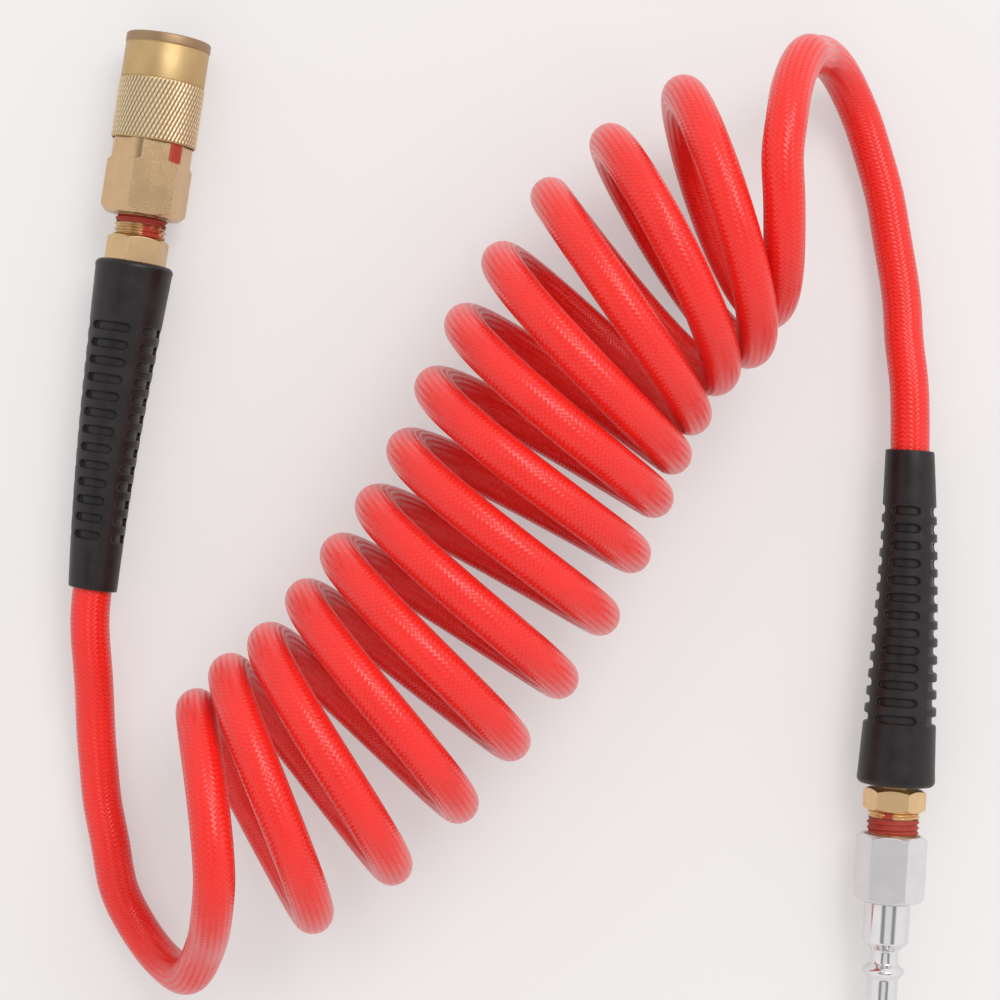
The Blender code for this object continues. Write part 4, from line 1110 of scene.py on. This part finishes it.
def makeSleeve():
    low, top, smooth, knurl, skirt, lip = [sleeve[k] for k in ("low", "top", "smooth", "knurl", "skirt", "lip")]
    knurlTop, lipLow, step, edge, start = [sleeve[k] for k in ("knurlTop", "lipLow", "step", "edge", "knurlStart")]
    landLow, ballPlane, land = sleeve["land"]
    rampTop, recess = sleeve["recess"]
    collarLow, collarTop, collar = sleeve["collar"]
    piece = turnPiece("knurled_sleeve", [
        (recess + edge, top), *roundedEdge(lip, top, sleeve["lipEdge"], steps=3),
        (lip, lipLow + step), (lip - step, lipLow), (smooth - step, lipLow - 0.15), (smooth, lipLow - edge),
        (smooth, knurlTop + 0.1), (smooth - step, knurlTop), (knurl, knurlTop - edge),
        (knurl, low + start), (knurl - edge, low), (skirt, low),
        (skirt, landLow), (land, landLow), (land, ballPlane), (recess, rampTop), (recess, collarLow),
        (collar, collarLow), (collar, collarTop), (recess, collarTop), (recess, top - edge),
    ], sleeve["sides"])
    shapeBand(piece, low + start, knurlTop - edge, skirt + 0.1, sleeve["knurlCuts"], knurlRule)
    finishPiece(piece, 40, "sleeve", "coupler_sleeve", sleeveBrass)


makeSleeve()


def makeRetainingRing():
    low, top = barrel["ring"]
    inner, outer = barrel["radius"] - 0.3, barrel["flange"][2]
    piece = turnPiece("sleeve_ring", [(outer, top), (outer, low), (inner, low), (inner, top)])
    deselectAll()
    bpy.ops.mesh.primitive_cube_add(size=1, location=(0, outer * mm, (low + top) / 2 * mm))
    bpy.ops.transform.resize(value=(3 * mm, outer * mm, 5 * mm))
    cutPiece(piece, bpy.context.object)
    softenEdges(piece, 0.1)
    finishPiece(piece, 28, "root", "sleeve_retaining_ring", springSteel, crisp=True)


makeRetainingRing()

valve = {
    "head": (27.9, 30.1, 5.2),
    "nose": (30.9, 3.6),
    "stem": (24.9, 2.2),
    "seal": (30.4, 33.0, 5.5, 4.1),
    "sealEdges": (0.5, 0.2, 0.15),
}


def makeValve():
    headLow, headTop, head = valve["head"]
    noseTop, nose = valve["nose"]
    stemLow, stem = valve["stem"]
    piece = turnPiece("valve", [
        (0, noseTop), (nose - 0.5, noseTop), (nose, noseTop - 0.3), (nose, headTop), (head - 0.3, headTop),
        (head, headTop - 0.3), (head, headLow + 0.2), (head - 0.2, headLow), (stem, headLow), (stem, stemLow + 0.4),
        (stem - 0.4, stemLow), (0, stemLow),
    ], 64)
    finishPiece(piece, 35, "valve", "valve_poppet", couplerBrass)


makeValve()


def makeSocketSeal():
    low, top, outer, inner = valve["seal"]
    edge, innerEdge, soft = valve["sealEdges"]
    piece = turnPiece("socket_seal_ring", [
        (outer - edge, top), (outer, top - edge), (outer, low + edge), (outer - edge, low),
        (inner + innerEdge, low), (inner, low + innerEdge), (inner, top - innerEdge), (inner + innerEdge, top),
    ], 64)
    softenEdges(piece, soft)
    finishPiece(piece, 50, "root", "socket_seal", sealRubber)


makeSocketSeal()

springs = {
    "sleeve": (31.1, 41.0, 8.6, 0.9, 3.25),     # low, high, radius, wire, turns
    "valve": (19.5, 27.9, 3.9, 0.8, 2.5),
    "gap": 0.3,                                 # to the shoulders at both ends
    "pointsInTurn": 28,
    "sides": 14,
}


def makeSpring(name, shape, node):
    low, high, radius, wire, turns = shape
    inset, sides = wire / 2 + springs["gap"], springs["sides"]
    count = round(turns * springs["pointsInTurn"]) + 1
    angles = np.linspace(0, 2 * np.pi * turns, count)
    heights = np.linspace(low + inset, high - inset, count)
    path = np.column_stack((radius * np.cos(angles), radius * np.sin(angles), heights))
    path = np.array([couplerPlace @ Vector(p * mm) for p in path])
    piece = makeTubeMesh(name, path, runAlong(path), wire / 2 * mm, sides)
    finishTube(piece, [node], springSteel)


makeSpring("sleeve_return_spring", springs["sleeve"], "sleeve_spring")
makeSpring("valve_return_spring", springs["valve"], "valve_spring")

print("stage 5: plug side")

swivel = {
    "neck": (3.1, 1.0, 3.5),        # radius, nut's low face, nut's web
    "neckTop": -0.3,
    "head": (3.8, 9.2, 4.2),
    "headEdge": 0.2,
    "groove": (3.25, 1.7),
    "stemEdge": 0.08,
    "nutFlats": 14.0,
    "nutTurn": 42.0,
    "nutTop": 18.8,
    "hexTop": 6.7,
    "sealant": (8.6, 12.5),
    "neckGap": 0.3,
    "cavity": 4.5,
    "clipGroove": (9.35, 10.6, 0.6),
    "threadCuts": 12,
}


def makeSwivelStem():
    headLow, headTop, head = swivel["head"]
    groove, width = swivel["groove"]
    neck, edge, neckTop = swivel["neck"][0], swivel["headEdge"], swivel["neckTop"]
    grooveLow, grooveTop = [(headLow + headTop + side * width) / 2 for side in (-1, 1)]
    piece = turnPiece("swivel_hose_stem", [
        (head - edge, headTop), (head, headTop - edge), (head, grooveTop), (groove, grooveTop),
        (groove, grooveLow), (head, grooveLow), (head, headLow), (neck, headLow),
        (neck, neckTop), *stemBelow(neckTop), (crimp["stemBore"] / 2, headTop),
    ], 64)
    softenEdges(piece, swivel["stemEdge"])
    finishPiece(piece, 28, "plug_end", "swivel_stem", plugBrass, crisp=True)


makeSwivelStem()


def makeSwivelNut():
    low, high = swivel["sealant"]
    neck, nutLow, webTop = swivel["neck"]
    grooveLow, grooveTop, grooveDepth = swivel["clipGroove"]
    hole, cavity, top = neck + swivel["neckGap"], swivel["cavity"], swivel["nutTop"]
    piece = turnPiece("swivel_hex_nut", [
        *threadedNose(top, low, high, swivel["hexTop"]),
        *hexSides(swivel["nutFlats"], swivel["hexTop"], nutLow, hoseEnd["chamfer"]),
        (hole, nutLow), (hole, webTop), (cavity, webTop), (cavity, grooveLow),
        (cavity + grooveDepth, grooveLow), (cavity + grooveDepth, grooveTop), (cavity, grooveTop), (cavity, top),
    ])
    trimHex(piece, swivel["nutFlats"], swivel["nutTurn"])
    softenEdges(piece, hoseEnd["edge"], 24)
    cutThread(piece, swivel["hexTop"], low, swivel["threadCuts"])
    finishPiece(piece, 26, "swivel", "swivel_nut", plugBrass, crisp=True)


makeSwivelNut()
makeSealant("plug_sealant", *swivel["sealant"], "swivel", "plug_thread_sealant")

plug = {
    "flats": 15.88,
    "turn": 42.0,
    "low": 12.8,
    "hexTop": 29.9,
    "chamfer": 1.0,
    "shank": (5.9, 40.5),
    "neck": (3.55, 42.2, 46.2),
    "ring": (5.4, 49.5, 0.8),
    "tip": (3.925, 62.0, 0.6),
    "fillet": ((0.12, 0.25), (0.45, 0.7)),     # of the neck: first and last step in radius and in height
    "bore": 2.5,
    "boreEdge": 0.4,
    "threadBore": 6.95,
    "threadEdge": (0.15, 0.6),
    "threadEnd": 22.8,
    "edge": 0.12,
}


def makePlug():
    shank, shankTop = plug["shank"]
    neck, neckLow, ringLow = plug["neck"]
    ring, ringTop, crest = plug["ring"]
    tip, top, tipEdge = plug["tip"]
    (near, rise), (far, height) = plug["fillet"]
    bore, threadBore, threadEnd, low, hexTop = [plug[k] for k in ("bore", "threadBore", "threadEnd", "low", "hexTop")]
    wider, edge = plug["threadEdge"]
    middle, half = (ringLow + ringTop) / 2, crest / 2
    piece = turnPiece("steel_plug", [
        (bore + plug["boreEdge"], top), *roundedEdge(tip, top, tipEdge, steps=3),
        (tip, ringTop + height), (tip + near, ringTop + rise), (tip + 0.35, ringTop),
        (ring - rise, middle + half + rise), (ring, middle + half - 0.1),
        (ring, middle - half + 0.1), (ring - rise, middle - half - rise),
        (neck + far, ringLow), (neck + near, ringLow - rise), (neck, ringLow - height),
        (neck, neckLow + height), (neck + near, neckLow + rise), (neck + far, neckLow),
        (shank - 0.3, shankTop + 0.1), (shank, shankTop - rise),
        (shank, hexTop + 0.5), (shank - rise, hexTop + 0.3), (shank - rise, hexTop),
        *hexSides(plug["flats"], hexTop, low, plug["chamfer"]),
        (threadBore + wider, low), (threadBore, low + edge), (threadBore, threadEnd - edge), (bore, threadEnd),
        (bore, top - plug["boreEdge"]),
    ], 120)
    trimHex(piece, plug["flats"], plug["turn"])
    softenEdges(piece, plug["edge"], 30)
    finishPiece(piece, 26, "swivel", "air_plug", brightSteel, crisp=True)


makePlug()

for node, material in (
    ("coupler_ferrule", couplerBrass), ("plug_ferrule", plugBrass), ("swivel_clip", springSteel),
    ("swivel_seal", sealRubber),
):
    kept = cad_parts[node].data.materials
    kept.clear()
    kept.append(material)

print("stage 6: lights and floor")

lightSet = {
    "floor": (0.44, 0.432, 0.430),
    "floorGlow": (0.395, 0.381, 0.377),    # what the camera sees the backdrop add, so that its shadows stay pale
    "floorSize": 6,
    "floorDepth": -0.0002,
    "world": 0.84,
    "seen": (0.94, 0.24, 0.58),   # low down, in the dark ring, and what the zenith has more than the ring
    "ring": (0.76, 0.84),         # height of a direction where the ring starts and where it is all there
    "zenith": (0.93, 0.96),       # the same for the pale patch straight overhead
    "lamp": (0.80, 1.14, 1.84),
    "lampSize": 1.1,
    "lampPower": 21.0,
}


def seenRays(tree):  # 1 where the camera looks, straight or through a reflection
    path = addNode(tree, "ShaderNodeLightPath").outputs
    seen = mathNode(tree, "MAXIMUM", path["Is Camera Ray"], path["Is Glossy Ray"])
    return mathNode(tree, "MAXIMUM", seen, path["Is Transmission Ray"])


def addWorld():
    world = bpy.data.worlds.new("studio")
    bpy.context.scene.world = world
    world.use_nodes = True
    tree = world.node_tree
    background = tree.nodes["Background"]
    height = splitVector(tree, addNode(tree, "ShaderNodeTexCoord").outputs["Generated"])[2]
    low, ring, zenith = lightSet["seen"]
    sky = mathNode(tree, "ADD", spread(tree, height, *lightSet["ring"], low, ring),
                   spread(tree, height, *lightSet["zenith"], 0, zenith))
    background.inputs["Color"].default_value = (1, 1, 1, 1)
    tree.links.new(mixValue(tree, seenRays(tree), lightSet["world"], sky), background.inputs["Strength"])


def addLamp():
    bpy.ops.object.light_add(type="AREA", location=lightSet["lamp"])
    lamp = bpy.context.object
    lamp.data.shape = "SQUARE"
    lamp.data.size = lightSet["lampSize"]
    lamp.data.energy = lightSet["lampPower"]
    lamp.rotation_euler = (-Vector(lightSet["lamp"])).to_track_quat("-Z", "Y").to_euler()


def addFloor():
    deselectAll()
    bpy.ops.mesh.primitive_plane_add(size=lightSet["floorSize"], location=(0, 0, lightSet["floorDepth"]))
    floor = bpy.context.object
    floor.name = "floor"
    material, tree, shader = newMaterial("paleFloor", lightSet["floor"], 0.9, Specular_IOR_Level=0.1,
                                         Emission_Strength=1.0)
    linkShader(tree, shader, Emission_Color=mixColour(tree, seenRays(tree), (0, 0, 0), lightSet["floorGlow"]))
    floor.data.materials.append(material)


addWorld()
addLamp()
addFloor()
